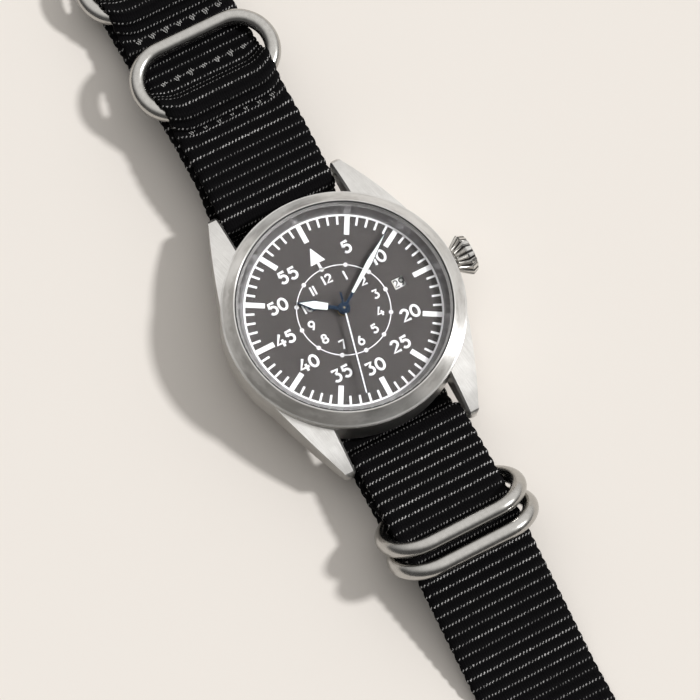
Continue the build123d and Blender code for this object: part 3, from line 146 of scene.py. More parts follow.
def take(*pieces):
    """Selects these pieces alone, the first of them active."""
    start_clean()
    for piece in pieces:
        piece.select_set(True)
    bpy.context.view_layer.objects.active = pieces[0]


def settle(piece, name):
    """Names a piece and moves its place into its mesh."""
    take(piece)
    bpy.ops.object.transform_apply(location=True, rotation=True, scale=True)
    piece.name = name
    piece.data.name = name
    return piece


def joined(pieces, name):
    """Makes one piece of several."""
    take(*pieces)
    bpy.ops.object.join()
    return settle(bpy.context.object, name)


def finished(piece, body, finish, replaced=()):
    """Gives a piece its body and its finish, and hides the CAD parts it replaces."""
    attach(piece, body)
    if replaced:
        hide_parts(*replaced)
    piece.data.materials.clear()
    piece.data.materials.append(finish)
    return piece


# Shader nodes
def feed_sockets(tree, made, feeds):
    """Sets a node's sockets; a feed is a value or the socket that drives it."""
    for socket, value in feeds.items():
        if isinstance(value, bpy.types.NodeSocket):
            tree.links.new(value, made.inputs[socket])
        else:
            made.inputs[socket].default_value = value


def shader(tree, kind, feeds=None, **settings):
    """Adds a shader node with its settings and feeds."""
    made = tree.nodes.new("ShaderNode" + kind)
    for name, value in settings.items():
        setattr(made, name, value)
    feed_sockets(tree, made, feeds or {})
    return made


def maths(tree, operation, first, second=0.0, clamp=False):
    """The outcome of one sum."""
    made = shader(tree, "Math", {0: first, 1: second}, operation=operation)
    made.use_clamp = clamp
    return made.outputs[0]


def ramp(tree, value, low, high, start=0.0, end=1.0):
    """Maps a value's span onto another, smoothly."""
    made = shader(
        tree,
        "MapRange",
        {"Value": value, "From Min": low, "From Max": high, "To Min": start, "To Max": end},
        interpolation_type="SMOOTHSTEP",
    )
    return made.outputs["Result"]


def blend_colours(tree, share, first, second):
    """A mix of two colours."""
    made = shader(tree, "Mix", data_type="RGBA")
    for socket, value in (("Factor", share), ("A", first), ("B", second)):
        places = [entry for entry in made.inputs if entry.name == socket and entry.enabled]
        if isinstance(value, bpy.types.NodeSocket):
            tree.links.new(value, places[0])
        else:
            places[0].default_value = value
    return [entry for entry in made.outputs if entry.enabled][0]


def flat_vector(tree, first, second):
    """A vector with these two parts and no third."""
    return shader(tree, "CombineXYZ", {"X": first, "Y": second}).outputs[0]


def blend_values(tree, share, first, second):
    """A mix of two numbers."""
    step = maths(tree, "MULTIPLY", share, maths(tree, "SUBTRACT", second, first))
    return maths(tree, "ADD", first, step)


def new_group(name, inputs, outputs):
    """An empty node group with number inputs and the outputs named."""
    group = bpy.data.node_groups.new(name, "ShaderNodeTree")
    for label, value in inputs.items():
        socket = group.interface.new_socket(label, in_out="INPUT", socket_type="NodeSocketFloat")
        socket.default_value = value
    for label in outputs:
        group.interface.new_socket(label, in_out="OUTPUT", socket_type="NodeSocketFloat")
    return group, group.nodes.new("NodeGroupInput"), group.nodes.new("NodeGroupOutput")


def place_group(tree, group, feeds=None):
    """Puts a node group in a material."""
    made = tree.nodes.new("ShaderNodeGroup")
    made.node_tree = group
    feed_sockets(tree, made, feeds or {})
    return made


def scaled_place(tree, scale):
    """Object coordinates times a scale on each axis, from millimetres."""
    coordinates = shader(tree, "TexCoord")
    stretched = shader(
        tree,
        "Mapping",
        {"Vector": coordinates.outputs["Object"], "Scale": [share / mm for share in scale]},
    )
    return stretched.outputs["Vector"]


def make_grain_group():
    """Fine cloudy variation: a mask from 0 to 1 and a height."""
    group, given, gives = new_group("fine_grain", {"Size": 1.0, "Contrast": 1.0}, ("Mask", "Height"))
    place = scaled_place(group, (1, 1, 1))
    size = maths(group, "DIVIDE", 1.0, given.outputs["Size"])
    noise = shader(
        group, "TexNoise", {"Vector": place, "Scale": size, "Detail": 4.0, "Roughness": 0.6}
    )
    centred = maths(group, "SUBTRACT", noise.outputs["Fac"], 0.5)
    spread = maths(group, "MULTIPLY", centred, given.outputs["Contrast"])
    mask = maths(group, "ADD", spread, 0.5, clamp=True)
    group.links.new(mask, gives.inputs["Mask"])
    group.links.new(noise.outputs["Fac"], gives.inputs["Height"])
    return group


top_facing = (0.25, 0.45)


def make_straight_brushing_group():
    """Long fine streaks in the dial's plane, on tops and on upright sides."""
    group, given, gives = new_group(
        "straight_brushing", {"Turn": 0.0, "Width": 0.05, "Length": 4.0}, ("Streak",)
    )
    place = scaled_place(group, (1, 1, 1))
    turned = shader(
        group,
        "VectorRotate",
        {"Vector": place, "Angle": given.outputs["Turn"]},
        rotation_type="Z_AXIS",
    )
    split = shader(group, "SeparateXYZ", {"Vector": turned.outputs[0]})
    across = maths(group, "DIVIDE", split.outputs["Y"], given.outputs["Width"])
    along = maths(group, "DIVIDE", split.outputs["X"], given.outputs["Length"])
    rise = maths(group, "DIVIDE", split.outputs["Z"], given.outputs["Width"])
    facing = shader(group, "SeparateXYZ", {"Vector": shader(group, "NewGeometry").outputs["Normal"]})
    on_top = ramp(group, maths(group, "ABSOLUTE", facing.outputs["Z"]), *top_facing)
    streaks = []
    for second in (rise, across):
        stretched = shader(group, "CombineXYZ", {"X": along, "Y": second})
        noise = shader(
            group,
            "TexNoise",
            {"Vector": stretched.outputs[0], "Scale": 1.0, "Detail": 3.0, "Roughness": 0.7},
        )
        streaks.append(noise.outputs["Fac"])
    group.links.new(blend_values(group, on_top, *streaks), gives.inputs["Streak"])
    return group


def make_round_brushing_group():
    """Fine streaks that run round the dial's axis."""
    group, given, gives = new_group("round_brushing", {"Width": 0.05, "Arc": 0.2}, ("Streak",))
    place = scaled_place(group, (1, 1, 1))
    split = shader(group, "SeparateXYZ", {"Vector": place})
    squared = maths(
        group,
        "ADD",
        maths(group, "POWER", split.outputs["X"], 2.0),
        maths(group, "POWER", split.outputs["Y"], 2.0),
    )
    radius = maths(group, "DIVIDE", maths(group, "SQRT", squared), given.outputs["Width"])
    length = shader(group, "VectorMath", {0: place}, operation="NORMALIZE")
    turned = shader(group, "SeparateXYZ", {"Vector": length.outputs[0]})
    first = maths(group, "DIVIDE", turned.outputs["X"], given.outputs["Arc"])
    second = maths(group, "DIVIDE", turned.outputs["Y"], given.outputs["Arc"])
    rise = maths(group, "DIVIDE", split.outputs["Z"], given.outputs["Width"])
    layer = maths(group, "ADD", radius, rise)
    joined_up = shader(group, "CombineXYZ", {"X": first, "Y": second, "Z": layer})
    noise = shader(
        group, "TexNoise", {"Vector": joined_up.outputs[0], "Scale": 1.0, "Detail": 3.0, "Roughness": 0.7}
    )
    group.links.new(noise.outputs["Fac"], gives.inputs["Streak"])
    return group


grain_group = make_grain_group()
straight_group = make_straight_brushing_group()
round_group = make_round_brushing_group()


def new_finish(name, **plain):
    """A material and its main shader, with constants set on the shader's own sockets."""
    finish = bpy.data.materials.new(name)
    finish.use_nodes = True
    tree = finish.node_tree
    main = tree.nodes["Principled BSDF"]
    for socket, value in plain.items():
        main.inputs[socket.replace("_", " ")].default_value = value
    return finish, tree, main


def grained_finish(name, dark, light, rough, size=0.6, lift=0.0, contrast=1.5, **plain):
    """A plain surface with cloudy colour, uneven gloss and a fine relief."""
    finish, tree, main = new_finish(name, **plain)
    grain = place_group(tree, grain_group, {"Size": size, "Contrast": contrast})
    mask = grain.outputs["Mask"]
    tree.links.new(blend_colours(tree, mask, (*dark, 1), (*light, 1)), main.inputs["Base Color"])
    tree.links.new(ramp(tree, mask, 0.0, 1.0, *rough), main.inputs["Roughness"])
    if lift:
        relief = shader(
            tree, "Bump", {"Height": grain.outputs["Height"], "Strength": 1.0, "Distance": lift * mm}
        )
        tree.links.new(relief.outputs["Normal"], main.inputs["Normal"])
    return finish


streak_span = (0.42, 0.86)
cloud_size = 3.0
cloud_contrast = 1.2
cloud_share = 0.3


def brushed_finish(name, group, feeds, dark, light, rough, lift, turned=False, **plain):
    """Metal with streaks in its colour, its gloss and its relief."""
    finish, tree, main = new_finish(name, Metallic=1.0, **plain)
    if turned:
        around = shader(tree, "Tangent", direction_type="RADIAL", axis="Z")
        tree.links.new(around.outputs["Tangent"], main.inputs["Tangent"])
    streak = place_group(tree, group, feeds).outputs["Streak"]
    clouds = place_group(tree, grain_group, {"Size": cloud_size, "Contrast": cloud_contrast})
    both = maths(tree, "ADD", streak, maths(tree, "MULTIPLY", clouds.outputs["Mask"], cloud_share))
    mask = ramp(tree, both, *streak_span)
    tree.links.new(blend_colours(tree, mask, (*dark, 1), (*light, 1)), main.inputs["Base Color"])
    tree.links.new(ramp(tree, both, *streak_span, *rough), main.inputs["Roughness"])
    relief = shader(tree, "Bump", {"Height": streak, "Strength": 1.0, "Distance": lift * mm})
    tree.links.new(relief.outputs["Normal"], main.inputs["Normal"])
    return finish


case_brushed = brushed_finish(
    "case_brushed_steel",
    straight_group,
    {"Turn": radians(78), "Width": 0.045, "Length": 5.0},
    (0.52, 0.51, 0.49),
    (0.74, 0.73, 0.71),
    (0.28, 0.38),
    0.007,
)
bezel_brushed = brushed_finish(
    "bezel_round_brushed_steel",
    round_group,
    {"Width": 0.10, "Arc": 0.5},
    (0.50, 0.49, 0.47),
    (0.78, 0.77, 0.75),
    (0.29, 0.37),
    0.006,
    turned=True,
    Anisotropic=0.95,
    Anisotropic_Rotation=0.25,
)
ring_brushed = brushed_finish(
    "inner_ring_steel",
    round_group,
    {"Width": 0.06, "Arc": 0.35},
    (0.25, 0.24, 0.24),
    (0.36, 0.35, 0.35),
    (0.32, 0.40),
    0.003,
)
back_brushed = brushed_finish(
    "back_round_brushed_steel",
    round_group,
    {"Width": 0.08, "Arc": 0.3},
    (0.48, 0.47, 0.45),
    (0.70, 0.69, 0.67),
    (0.25, 0.40),
    0.006,
)
polished = grained_finish(
    "polished_steel", (0.70, 0.69, 0.67), (0.80, 0.79, 0.77), (0.06, 0.14), 2.0, Metallic=1.0
)
satin = grained_finish(
    "bead_blasted_steel",
    (0.39, 0.38, 0.36),
    (0.52, 0.51, 0.49),
    (0.17, 0.25),
    0.70,
    0.006,
    Metallic=1.0,
)


flute_radii = (1.9, 2.3)
flute_span = (-0.1, 0.8)
crown_rough = (0.12, 0.22)


def make_crown_finish():
    """Polished steel, with painted shade between the crown's flutes and teeth."""
    finish, tree, main = new_finish("crown_steel", Metallic=1.0)
    grain = place_group(tree, grain_group, {"Size": 0.4, "Contrast": 1.5}).outputs["Mask"]
    split = shader(tree, "SeparateXYZ", {"Vector": scaled_place(tree, (1, 1, 1))})
    side = split.outputs["Y"]
    rise = maths(tree, "SUBTRACT", split.outputs["Z"], crown_height)
    angle = maths(tree, "ARCTAN2", rise, side)
    wave = maths(tree, "COSINE", maths(tree, "MULTIPLY", angle, crown_flutes))
    radius = shader(tree, "VectorMath", {0: flat_vector(tree, side, rise)}, operation="LENGTH")
    outer = ramp(tree, radius.outputs["Value"], *flute_radii)
    # Painted shade: the base colour turns near black in the grooves between the flutes and teeth of the
    # crown's outer part
    painted_groove_shade = maths(tree, "MULTIPLY", ramp(tree, wave, *flute_span), outer)
    steel = blend_colours(tree, grain, (0.56, 0.55, 0.53, 1), (0.74, 0.73, 0.71, 1))
    steel_with_painted_shade = blend_colours(tree, painted_groove_shade, steel, (0.035, 0.033, 0.032, 1))
    tree.links.new(steel_with_painted_shade, main.inputs["Base Color"])
    tree.links.new(ramp(tree, grain, 0.0, 1.0, *crown_rough), main.inputs["Roughness"])
    return finish


crown_polished = make_crown_finish()
movement = brushed_finish(
    "movement_striped_steel",
    straight_group,
    {"Turn": radians(20), "Width": 0.12, "Length": 6.0},
    (0.42, 0.41, 0.39),
    (0.66, 0.65, 0.62),
    (0.18, 0.34),
    0.004,
)
gilt = brushed_finish(
    "gilt_brass",
    round_group,
    {"Width": 0.08, "Arc": 0.3},
    (0.60, 0.43, 0.17),
    (0.86, 0.66, 0.32),
    (0.16, 0.32),
    0.003,
)
plated = brushed_finish(
    "plated_brass",
    round_group,
    {"Width": 0.10, "Arc": 0.4},
    (0.55, 0.54, 0.50),
    (0.74, 0.73, 0.68),
    (0.20, 0.36),
    0.003,
)
blued = grained_finish(
    "blued_steel", (0.010, 0.022, 0.050), (0.022, 0.045, 0.085), (0.12, 0.24), 0.5, Metallic=0.9
)
dial_black = grained_finish(
    "dial_matt_black",
    (0.054, 0.049, 0.048),
    (0.066, 0.060, 0.059),
    (0.55, 0.70),
    0.08,
    0.004,
    Specular_IOR_Level=0.1,
)
print_white = grained_finish(
    "print_white", (0.80, 0.79, 0.82), (0.90, 0.89, 0.91), (0.45, 0.60), 0.10, 0.004
)
lume_white = grained_finish(
    "lume_white", (0.72, 0.77, 0.75), (0.84, 0.88, 0.86), (0.60, 0.80), 0.06, 0.010
)
print_black = grained_finish(
    "date_black", (0.012, 0.012, 0.012), (0.03, 0.03, 0.03), (0.40, 0.55), 0.10
)
date_white = grained_finish(
    "date_white", (0.76, 0.76, 0.75), (0.84, 0.84, 0.83), (0.40, 0.55), 0.15, 0.002
)
holder = grained_finish(
    "holder_plastic", (0.60, 0.60, 0.58), (0.70, 0.70, 0.68), (0.40, 0.55), 0.5, 0.003
)
rubber = grained_finish("seal_rubber", (0.012, 0.012, 0.012), (0.03, 0.03, 0.03), (0.55, 0.75), 0.2, 0.004)
jewel = grained_finish(
    "red_jewel", (0.40, 0.010, 0.030), (0.60, 0.030, 0.070), (0.04, 0.10), 0.4, Coat_Weight=0.5
)


def make_crystal():
    """Clear glass that lets the lamps' light through to the dial."""
    finish, tree, main = new_finish("crystal", Transmission_Weight=1.0, IOR=1.16)
    grain = place_group(tree, grain_group, {"Size": 2.5, "Contrast": 1.0})
    tree.links.new(ramp(tree, grain.outputs["Mask"], 0.2, 0.8, 0.0, 0.012), main.inputs["Roughness"])
    tint = blend_colours(tree, grain.outputs["Mask"], (0.975, 0.985, 0.98, 1), (0.985, 0.99, 0.985, 1))
    tree.links.new(tint, main.inputs["Base Color"])
    clear = shader(tree, "BsdfTransparent")
    path = shader(tree, "LightPath")
    mixed = shader(
        tree, "MixShader", {0: path.outputs["Is Shadow Ray"], 1: main.outputs[0], 2: clear.outputs[0]}
    )
    tree.links.new(mixed.outputs[0], tree.nodes["Material Output"].inputs["Surface"])
    return finish


crystal = make_crystal()

finishes = {
    "case_steel": case_brushed,
    "polished_steel": polished,
    "satin_steel": satin,
    "movement_steel": movement,
    "gilt_brass": gilt,
    "plated_brass": plated,
    "blued_steel": blued,
    "crystal": crystal,
    "dial_black": dial_black,
    "date_white": date_white,
    "holder_plastic": holder,
    "rubber": rubber,
    "jewel": jewel,
}
special_finishes = {
    "bezel": bezel_brushed,
    "case_back": back_brushed,
    "inner_ring": ring_brushed,
    "crown": crown_polished,
}
for row in record["subparts"]:
    node = nodes[row["node"]]
    finish = special_finishes.get(row["node"], finishes.get(row["material_slot"]))
    if finish:
        for place in node.material_slots:
            place.material = finish


# Webbing
def rounded_route(route, radii):
    """The straight runs and arcs of a route, as (start, end) and (centre, radius, angles)."""
    parts = []
    before = Vector(route[0])
    for place, corner in enumerate(route[1:-1]):
        corner = Vector(corner)
        back_way = (Vector(route[place]) - corner).normalized()
        on_way = (Vector(route[place + 2]) - corner).normalized()
        half = acos(max(-1, min(1, back_way.dot(on_way)))) / 2
        reach = radii[place] * cos(half) / sin(half)
        first = corner + back_way * reach
        last = corner + on_way * reach
        centre = corner + (back_way + on_way).normalized() * radii[place] / sin(half)
        parts.append(("run", before, first))
        start = atan2(first.y - centre.y, first.x - centre.x)
        sweep = (atan2(last.y - centre.y, last.x - centre.x) - start + pi) % tau - pi
        parts.append(("arc", centre, radii[place], start, sweep))
        before = last
    parts.append(("run", before, Vector(route[-1])))
    return parts


def part_length(part):
    """The length of a run or an arc."""
    if part[0] == "run":
        return (part[2] - part[1]).length
    return part[2] * abs(part[4])


def place_on_route(parts, distance):
    """The point and the upward normal at a distance along the route."""
    for part in parts:
        length = part_length(part)
        if distance <= length or part is parts[-1]:
            break
        distance -= length
    if part[0] == "run":
        ahead = (part[2] - part[1]).normalized()
        return part[1] + ahead * distance, Vector((ahead.y, -ahead.x))
    turn = part[3] + part[4] * distance / length
    outward = Vector((cos(turn), sin(turn)))
    return part[1] + outward * part[2], outward * (1 if part[4] > 0 else -1)


def smooth_step(value):
    """Eases from 0 to 1."""
    value = max(0.0, min(1.0, value))
    return value * value * (3 - 2 * value)


rows_a_rib = 8
edge_inset = 0.02
face_inset = 0.01
groove_depth = 0.17
groove_power = 1.5
scallop_depth = 0.20
scallop_power = 1.2
edge_start = 0.90
edge_thinning = 0.55
column_places = (0, 0.3, 0.6, 0.9, slot_half, 2.0, 3.0, 4.2, 5.4, 6.6, 7.8, 8.8, 9.3, 9.6, 9.8)
columns_across = [-place for place in column_places[:0:-1]] + list(column_places)
lean_start = 10.0
lean_length = 25.0
tip_least = 0.1
saddle_hold = 3.2
saddle_fade = 4.5


def round_the_bend(across):
    """How far a ring's wire has come round its bend at a place across the strap."""
    beyond = max(0.0, abs(across) - ring_straight)
    return ring_bend - sqrt(ring_bend**2 - beyond**2)


def saddled(point, across, saddles):
    """Moves the strap's edges along the bends of the ring whose bar it goes over."""
    best = 0.0
    moved = point
    for bar_centre, way, lowest in saddles:
        share = 1 - smooth_step(((point - Vector(bar_centre)).length - saddle_hold) / saddle_fade)
        share *= smooth_step(point.y - lowest)
        if share > best:
            best = share
            moved = point + Vector(way) * round_the_bend(across) * share
    return moved


def webbing(name, route, radii, saddles, tip=0.0, holes=(), slot=None, lean=0.0):
    """A ribbed strap: a closed sheet with grooves across it, scalloped edges and its holes."""
    parts = rounded_route(route, radii)
    length = sum(part_length(part) for part in parts)
    rows = ceil(length / rib_pitch * rows_a_rib)
    columns = len(columns_across)
    mesh = bmesh.new()
    coordinates = mesh.loops.layers.uv.new("webbing")

    def inside_hole(row, column):
        distance = length * row / rows
        return any(
            hypot(distance - hole, columns_across[column]) < hole_radius for hole in holes
        )

    def is_open(row, column):
        if not 0 <= row < rows or not 0 <= column < columns - 1:
            return False
        if slot:
            middle = length * (row + 0.5) / rows
            across = (columns_across[column] + columns_across[column + 1]) / 2
            if slot[0] < middle < slot[1] and abs(across) < slot_half:
                return True
        corners = ((row, column), (row + 1, column), (row, column + 1), (row + 1, column + 1))
        return any(inside_hole(*corner) for corner in corners)

    def snapped(row, column):
        """A grid point, moved onto the rim of a hole where it borders one."""
        distance = length * row / rows
        across = columns_across[column]
        beside = ((row, column), (row - 1, column), (row, column - 1), (row - 1, column - 1))
        if holes and any(is_open(*cell) for cell in beside):
            hole = min(holes, key=lambda place: abs(place - distance))
            away = hypot(distance - hole, across)
            if away < 2 * hole_radius:
                distance = hole + (distance - hole) * hole_radius / away
                across = across * hole_radius / away
        return distance, across

    grid = {}
    for row in range(rows + 1):
        crest = abs(sin(pi * (length * row / rows / rib_pitch % 1)))
        half = strap_width / 2 - edge_inset - scallop_depth * (1 - crest) ** scallop_power
        from_end = length - length * row / rows
        if tip and from_end < tip:
            rounded = sqrt(max(tip**2 - (tip - from_end) ** 2, tip_least**2))
            half = min(half, strap_width / 2 - tip + rounded)
        half_thick = strap_thickness / 2 - face_inset - groove_depth * (1 - crest) ** groove_power
        for column in range(columns):
            distance, across = snapped(row, column)
            centre, normal = place_on_route(parts, distance)
            centre = saddled(centre, across, saddles)
            edge = smooth_step((abs(2 * across / strap_width) - edge_start) / (1 - edge_start))
            thick = half_thick * (1 - edge_thinning * edge**2)
            across *= 2 * half / strap_width
            for side in (1, -1):
                point = centre + normal * side * thick
                aside = strap_shift + lean * smooth_step((point.x - lean_start) / lean_length)
                place = Vector((aside + across, point.x, point.y)) * mm
                flat_place = (0.5 + across / strap_width, distance / strap_width)
                grid[row, column, side] = (mesh.verts.new(place), flat_place)

    def quad(*corners):
        entries = [grid[corner] for corner in corners]
        face = mesh.faces.new([entry[0] for entry in entries])
        face.smooth = True
        for loop, entry in zip(face.loops, entries):
            loop[coordinates].uv = entry[1]

    for row in range(rows):
        for column in range(columns - 1):
            if is_open(row, column):
                continue
            for side in (1, -1):
                quad(
                    (row, column, side),
                    (row + 1, column, side),
                    (row + 1, column + 1, side),
                    (row, column + 1, side),
                )
            if row == 0 or is_open(row - 1, column):
                quad((row, column, 1), (row, column + 1, 1), (row, column + 1, -1), (row, column, -1))
            if row == rows - 1 or is_open(row + 1, column):
                last = row + 1
                quad((last, column, 1), (last, column + 1, 1), (last, column + 1, -1), (last, column, -1))
            if column == 0 or is_open(row, column - 1):
                quad((row, column, 1), (row + 1, column, 1), (row + 1, column, -1), (row, column, -1))
            if column == columns - 2 or is_open(row, column + 1):
                last = column + 1
                quad((row, last, 1), (row + 1, last, 1), (row + 1, last, -1), (row, last, -1))
    bmesh.ops.delete(mesh, geom=[v for v in mesh.verts if not v.link_faces], context="VERTS")
    bmesh.ops.recalc_face_normals(mesh, faces=mesh.faces)
    data = bpy.data.meshes.new(name)
    mesh.to_mesh(data)
    mesh.free()
    strap = bpy.data.objects.new(name, data)
    bpy.context.collection.objects.link(strap)
    return strap, length


# The weave's relief, and the dashes and wander of the painted highlight line along each rib's crest
dash_pitch = 0.58
twill_pitch = 0.42
yarn_pitch = 0.45
line_place_in_rib = 0.58
line_edge = (0.025, 0.070)
glint_wave = 0.055
cloud_wander = 3.0
speck_wander = 1.6
speck_drift = 0.10
dash_most = 0.3
dash_chance = 1.1
dash_fade = 0.7
yarn_share = 0.5
weave_lift = 0.012


def make_webbing_finish():
    """Black nylon: crossing yarns, glossy crests and a painted highlight, a light dashed line near each
    rib's crest.
    """
    finish, tree, main = new_finish("black_webbing", Specular_IOR_Level=0.05)
    flat = shader(tree, "UVMap", uv_map="webbing")
    split = shader(tree, "SeparateXYZ", {"Vector": flat.outputs["UV"]})
    across = maths(tree, "MULTIPLY", split.outputs["X"], strap_width)
    along = maths(tree, "MULTIPLY", split.outputs["Y"], strap_width)
    rib = maths(tree, "FRACT", maths(tree, "DIVIDE", along, rib_pitch))
    from_crest = maths(tree, "ABSOLUTE", maths(tree, "SUBTRACT", rib, 0.5))
    grain = place_group(tree, grain_group, {"Size": 0.22, "Contrast": 2.2})
    broad = place_group(tree, grain_group, {"Size": 1.2, "Contrast": 2.6})
    rib_number = maths(tree, "FLOOR", maths(tree, "DIVIDE", along, rib_pitch))
    rib_chance = shader(tree, "TexWhiteNoise", {"W": rib_number}, noise_dimensions="1D")
    chance = rib_chance.outputs["Value"]
    cloud = maths(tree, "SUBTRACT", broad.outputs["Mask"], 0.5)
    speck = maths(tree, "SUBTRACT", grain.outputs["Mask"], 0.5)
    cloud_part = maths(tree, "MULTIPLY", cloud, cloud_wander)
    wander = maths(tree, "ADD", cloud_part, maths(tree, "MULTIPLY", speck, speck_wander))
    start = maths(tree, "ADD", wander, maths(tree, "MULTIPLY", chance, tau))
    turn = maths(tree, "ADD", maths(tree, "MULTIPLY", across, tau / dash_pitch), start)
    wave = maths(tree, "MULTIPLY", maths(tree, "SINE", turn), glint_wave)
    drift = maths(tree, "ADD", wave, maths(tree, "MULTIPLY", speck, speck_drift))
    # Painted highlight: a light grey dashed line near each rib's crest stands in for the key light's
    # glints on the crest yarns
    line_place = maths(tree, "ADD", maths(tree, "SUBTRACT", rib, line_place_in_rib), drift)
    line = ramp(tree, maths(tree, "ABSOLUTE", line_place), *line_edge, 1.0, 0.0)
    dash_low = maths(tree, "SUBTRACT", dash_most, maths(tree, "MULTIPLY", chance, dash_chance))
    dash_high = maths(tree, "ADD", dash_low, dash_fade)
    dashes = ramp(tree, maths(tree, "COSINE", turn), dash_low, dash_high)
    uneven = ramp(tree, maths(tree, "ADD", broad.outputs["Mask"], speck), 0.0, 0.8, 0.25, 1.0)
    rib_strength = maths(tree, "ADD", 0.5, maths(tree, "MULTIPLY", chance, 0.5))
    strength = maths(tree, "MULTIPLY", uneven, rib_strength)
    painted_crest_glint = maths(tree, "MULTIPLY", maths(tree, "MULTIPLY", line, dashes), strength)
    slant = maths(tree, "MULTIPLY", across, tau / twill_pitch)
    twill = maths(tree, "SINE", maths(tree, "ADD", slant, wander))
    cross_yarn = maths(tree, "SINE", maths(tree, "MULTIPLY", along, tau / yarn_pitch))
    weave = maths(tree, "ADD", twill, maths(tree, "MULTIPLY", cross_yarn, yarn_share))
    base = blend_colours(tree, grain.outputs["Mask"], (0.001, 0.001, 0.0013, 1), (0.005, 0.0045, 0.005, 1))
    # The painted highlight is mixed over the near-black nylon colour
    tree.links.new(blend_colours(tree, painted_crest_glint, base, (0.66, 0.65, 0.64, 1)), main.inputs["Base Color"])
    tree.links.new(ramp(tree, from_crest, 0.0, 0.5, 0.60, 0.85), main.inputs["Roughness"])
    relief = shader(tree, "Bump", {"Height": weave, "Strength": 1.0, "Distance": weave_lift * mm})
    tree.links.new(relief.outputs["Normal"], main.inputs["Normal"])
    return finish


webbing_finish = make_webbing_finish()
# Dark thread colour with painted highlights: grey-white spots placed at random stand in for glints on the
# thread
thread_finish = grained_finish(
    "sewing_thread", (0.22, 0.22, 0.21), (0.75, 0.74, 0.72), (0.4, 0.6), 0.12, 0.01
)


def on_slope(place, rise):
    """The point at a rise above the sloping strap's middle, over a place along it."""
    level = upper_layer + (buckle_foot - place) * tan(strap_slope)
    return place + rise * sin(strap_slope), level + rise * cos(strap_slope)


def hump(place):
    """The sloping route over a keeper's bar, from the buckle's side to the case's side."""
    along = cos(strap_slope)
    down = sin(strap_slope)
    middle, level = on_slope(place, 0)
    top, top_level = on_slope(place, hump_rise)
    foot = hump_half_top + hump_rise
    return [
        (middle + foot * along, level - foot * down),
        (top + hump_half_top * along, top_level - hump_half_top * down),
        (top - hump_half_top * along, top_level + hump_half_top * down),
        (middle - foot * along, level + foot * down),
    ]


hump_radii = [fold_radius, hump_radius, hump_radius, fold_radius]
main_route = [
    (strap_fold_end, lower_layer),
    (buckle_place + hump_radius, lower_layer),
    (buckle_place + hump_radius, hump_top),
    (buckle_place - hump_half_top, hump_top),
    (buckle_foot, upper_layer),
    *hump(keeper_places[0]),
    *hump(keeper_places[1]),
    strap_arch,
    (bar_outer, bar_top),
    (bar_inner, bar_top),
    (bar_inner, upper_layer),
    (-bar_inner, upper_layer),
    (-bar_inner, bar_top),
    (-bar_outer, bar_top),
    (loop_places[0] + hump_radius, over_loops),
    (loop_places[1] - hump_radius, over_loops),
    (-strap_foot_6, lower_layer),
    (-strap_tail_end, lower_layer),
]
corner_slack = 0.01
tight_hump = hump_radius - corner_slack
tight_bar_turn = bar_turn - corner_slack
main_radii = [
    tight_hump,
    tight_hump,
    hump_radius,
    fold_radius,
    *hump_radii,
    *hump_radii,
    strap_arch_radius,
    tight_bar_turn,
    tight_bar_turn,
    fold_radius,
    fold_radius,
    tight_bar_turn,
    tight_bar_turn,
    bend_radius,
    bend_radius,
    bend_radius,
]
layer_drop = upper_layer - lower_layer
under_route = [
    on_slope(under_strap_start, -layer_drop),
    on_slope(under_strap_join, -layer_drop),
    under_strap_arch,
    (under_strap_rise, lower_layer),
    (loop_places[1] - hump_radius, lower_layer),
    (loop_places[1] - hump_radius, hump_top),
    (loop_places[0] + hump_half_top, hump_top),
    (loop_places[0] + hump_half_top + hump_rise, upper_layer),
    (-under_strap_end, upper_layer),
]
under_radii = [
    bend_radius,
    bend_radius,
    bend_radius,
    tight_hump,
    tight_hump,
    hump_radius,
    fold_radius,
]


search_step = 0.02


def distance_to(parts, place, level):
    """How far along a route it comes over a place, at about a level."""
    distance = 0.0
    total = sum(part_length(part) for part in parts)
    best = (total, 0.0)
    while distance < total:
        point = place_on_route(parts, distance)[0]
        best = min(best, (hypot(point.x - place, point.y - level), distance))
        distance += search_step
    return best[1]


keeper_bars = [on_slope(place, wire_height - upper_layer) for place in keeper_places]
buckle_way = (1, -0.06)
loop_way = (cos(loop_angle), sin(loop_angle))
loop_lowest = wire_height - 0.5
whole_height = -strap_width
main_saddles = [(bar_centre, (1, 0), whole_height) for bar_centre in keeper_bars]
main_saddles.append(((buckle_place, wire_height), buckle_way, whole_height))
loop_saddles = [((place, wire_height), loop_way, loop_lowest) for place in loop_places]
main_parts = rounded_route(main_route, main_radii)
main_total = sum(part_length(part) for part in main_parts)
hole_distances = [
    main_total - (strap_tail_end - hole_first - hole * hole_pitch) for hole in range(hole_count)
]
slot_span = (
    distance_to(main_parts, slot_under, lower_layer),
    distance_to(main_parts, slot_over, upper_layer),
)
main_strap, main_length = webbing(
    "main_strap_webbing",
    main_route,
    main_radii,
    main_saddles,
    tip=strap_tip_radius,
    holes=hole_distances,
    slot=slot_span,
)
under_strap, under_length = webbing(
    "under_strap_webbing", under_route, under_radii, loop_saddles, lean=under_strap_lean
)
finished(main_strap, "case", webbing_finish, ["main_strap"])
finished(under_strap, "case", webbing_finish, ["under_strap"])


# Stitches: rows of small zigzags that sew the layers of the 12 o'clock side
stitch_rows = (66.0, 55.8, 47.2, 37.5)
stitch_pitch = 2.4
stitches_a_row = 7
stitch_growth = 0.3
thread_radius = 0.09
stitch_shape = (
    (-0.45, 0.15),
    (-0.15, -0.35),
    (-0.1, 0.3),
    (0.15, -0.1),
    (0.05, -0.4),
    (0.3, 0.35),
    (0.5, -0.05),
)


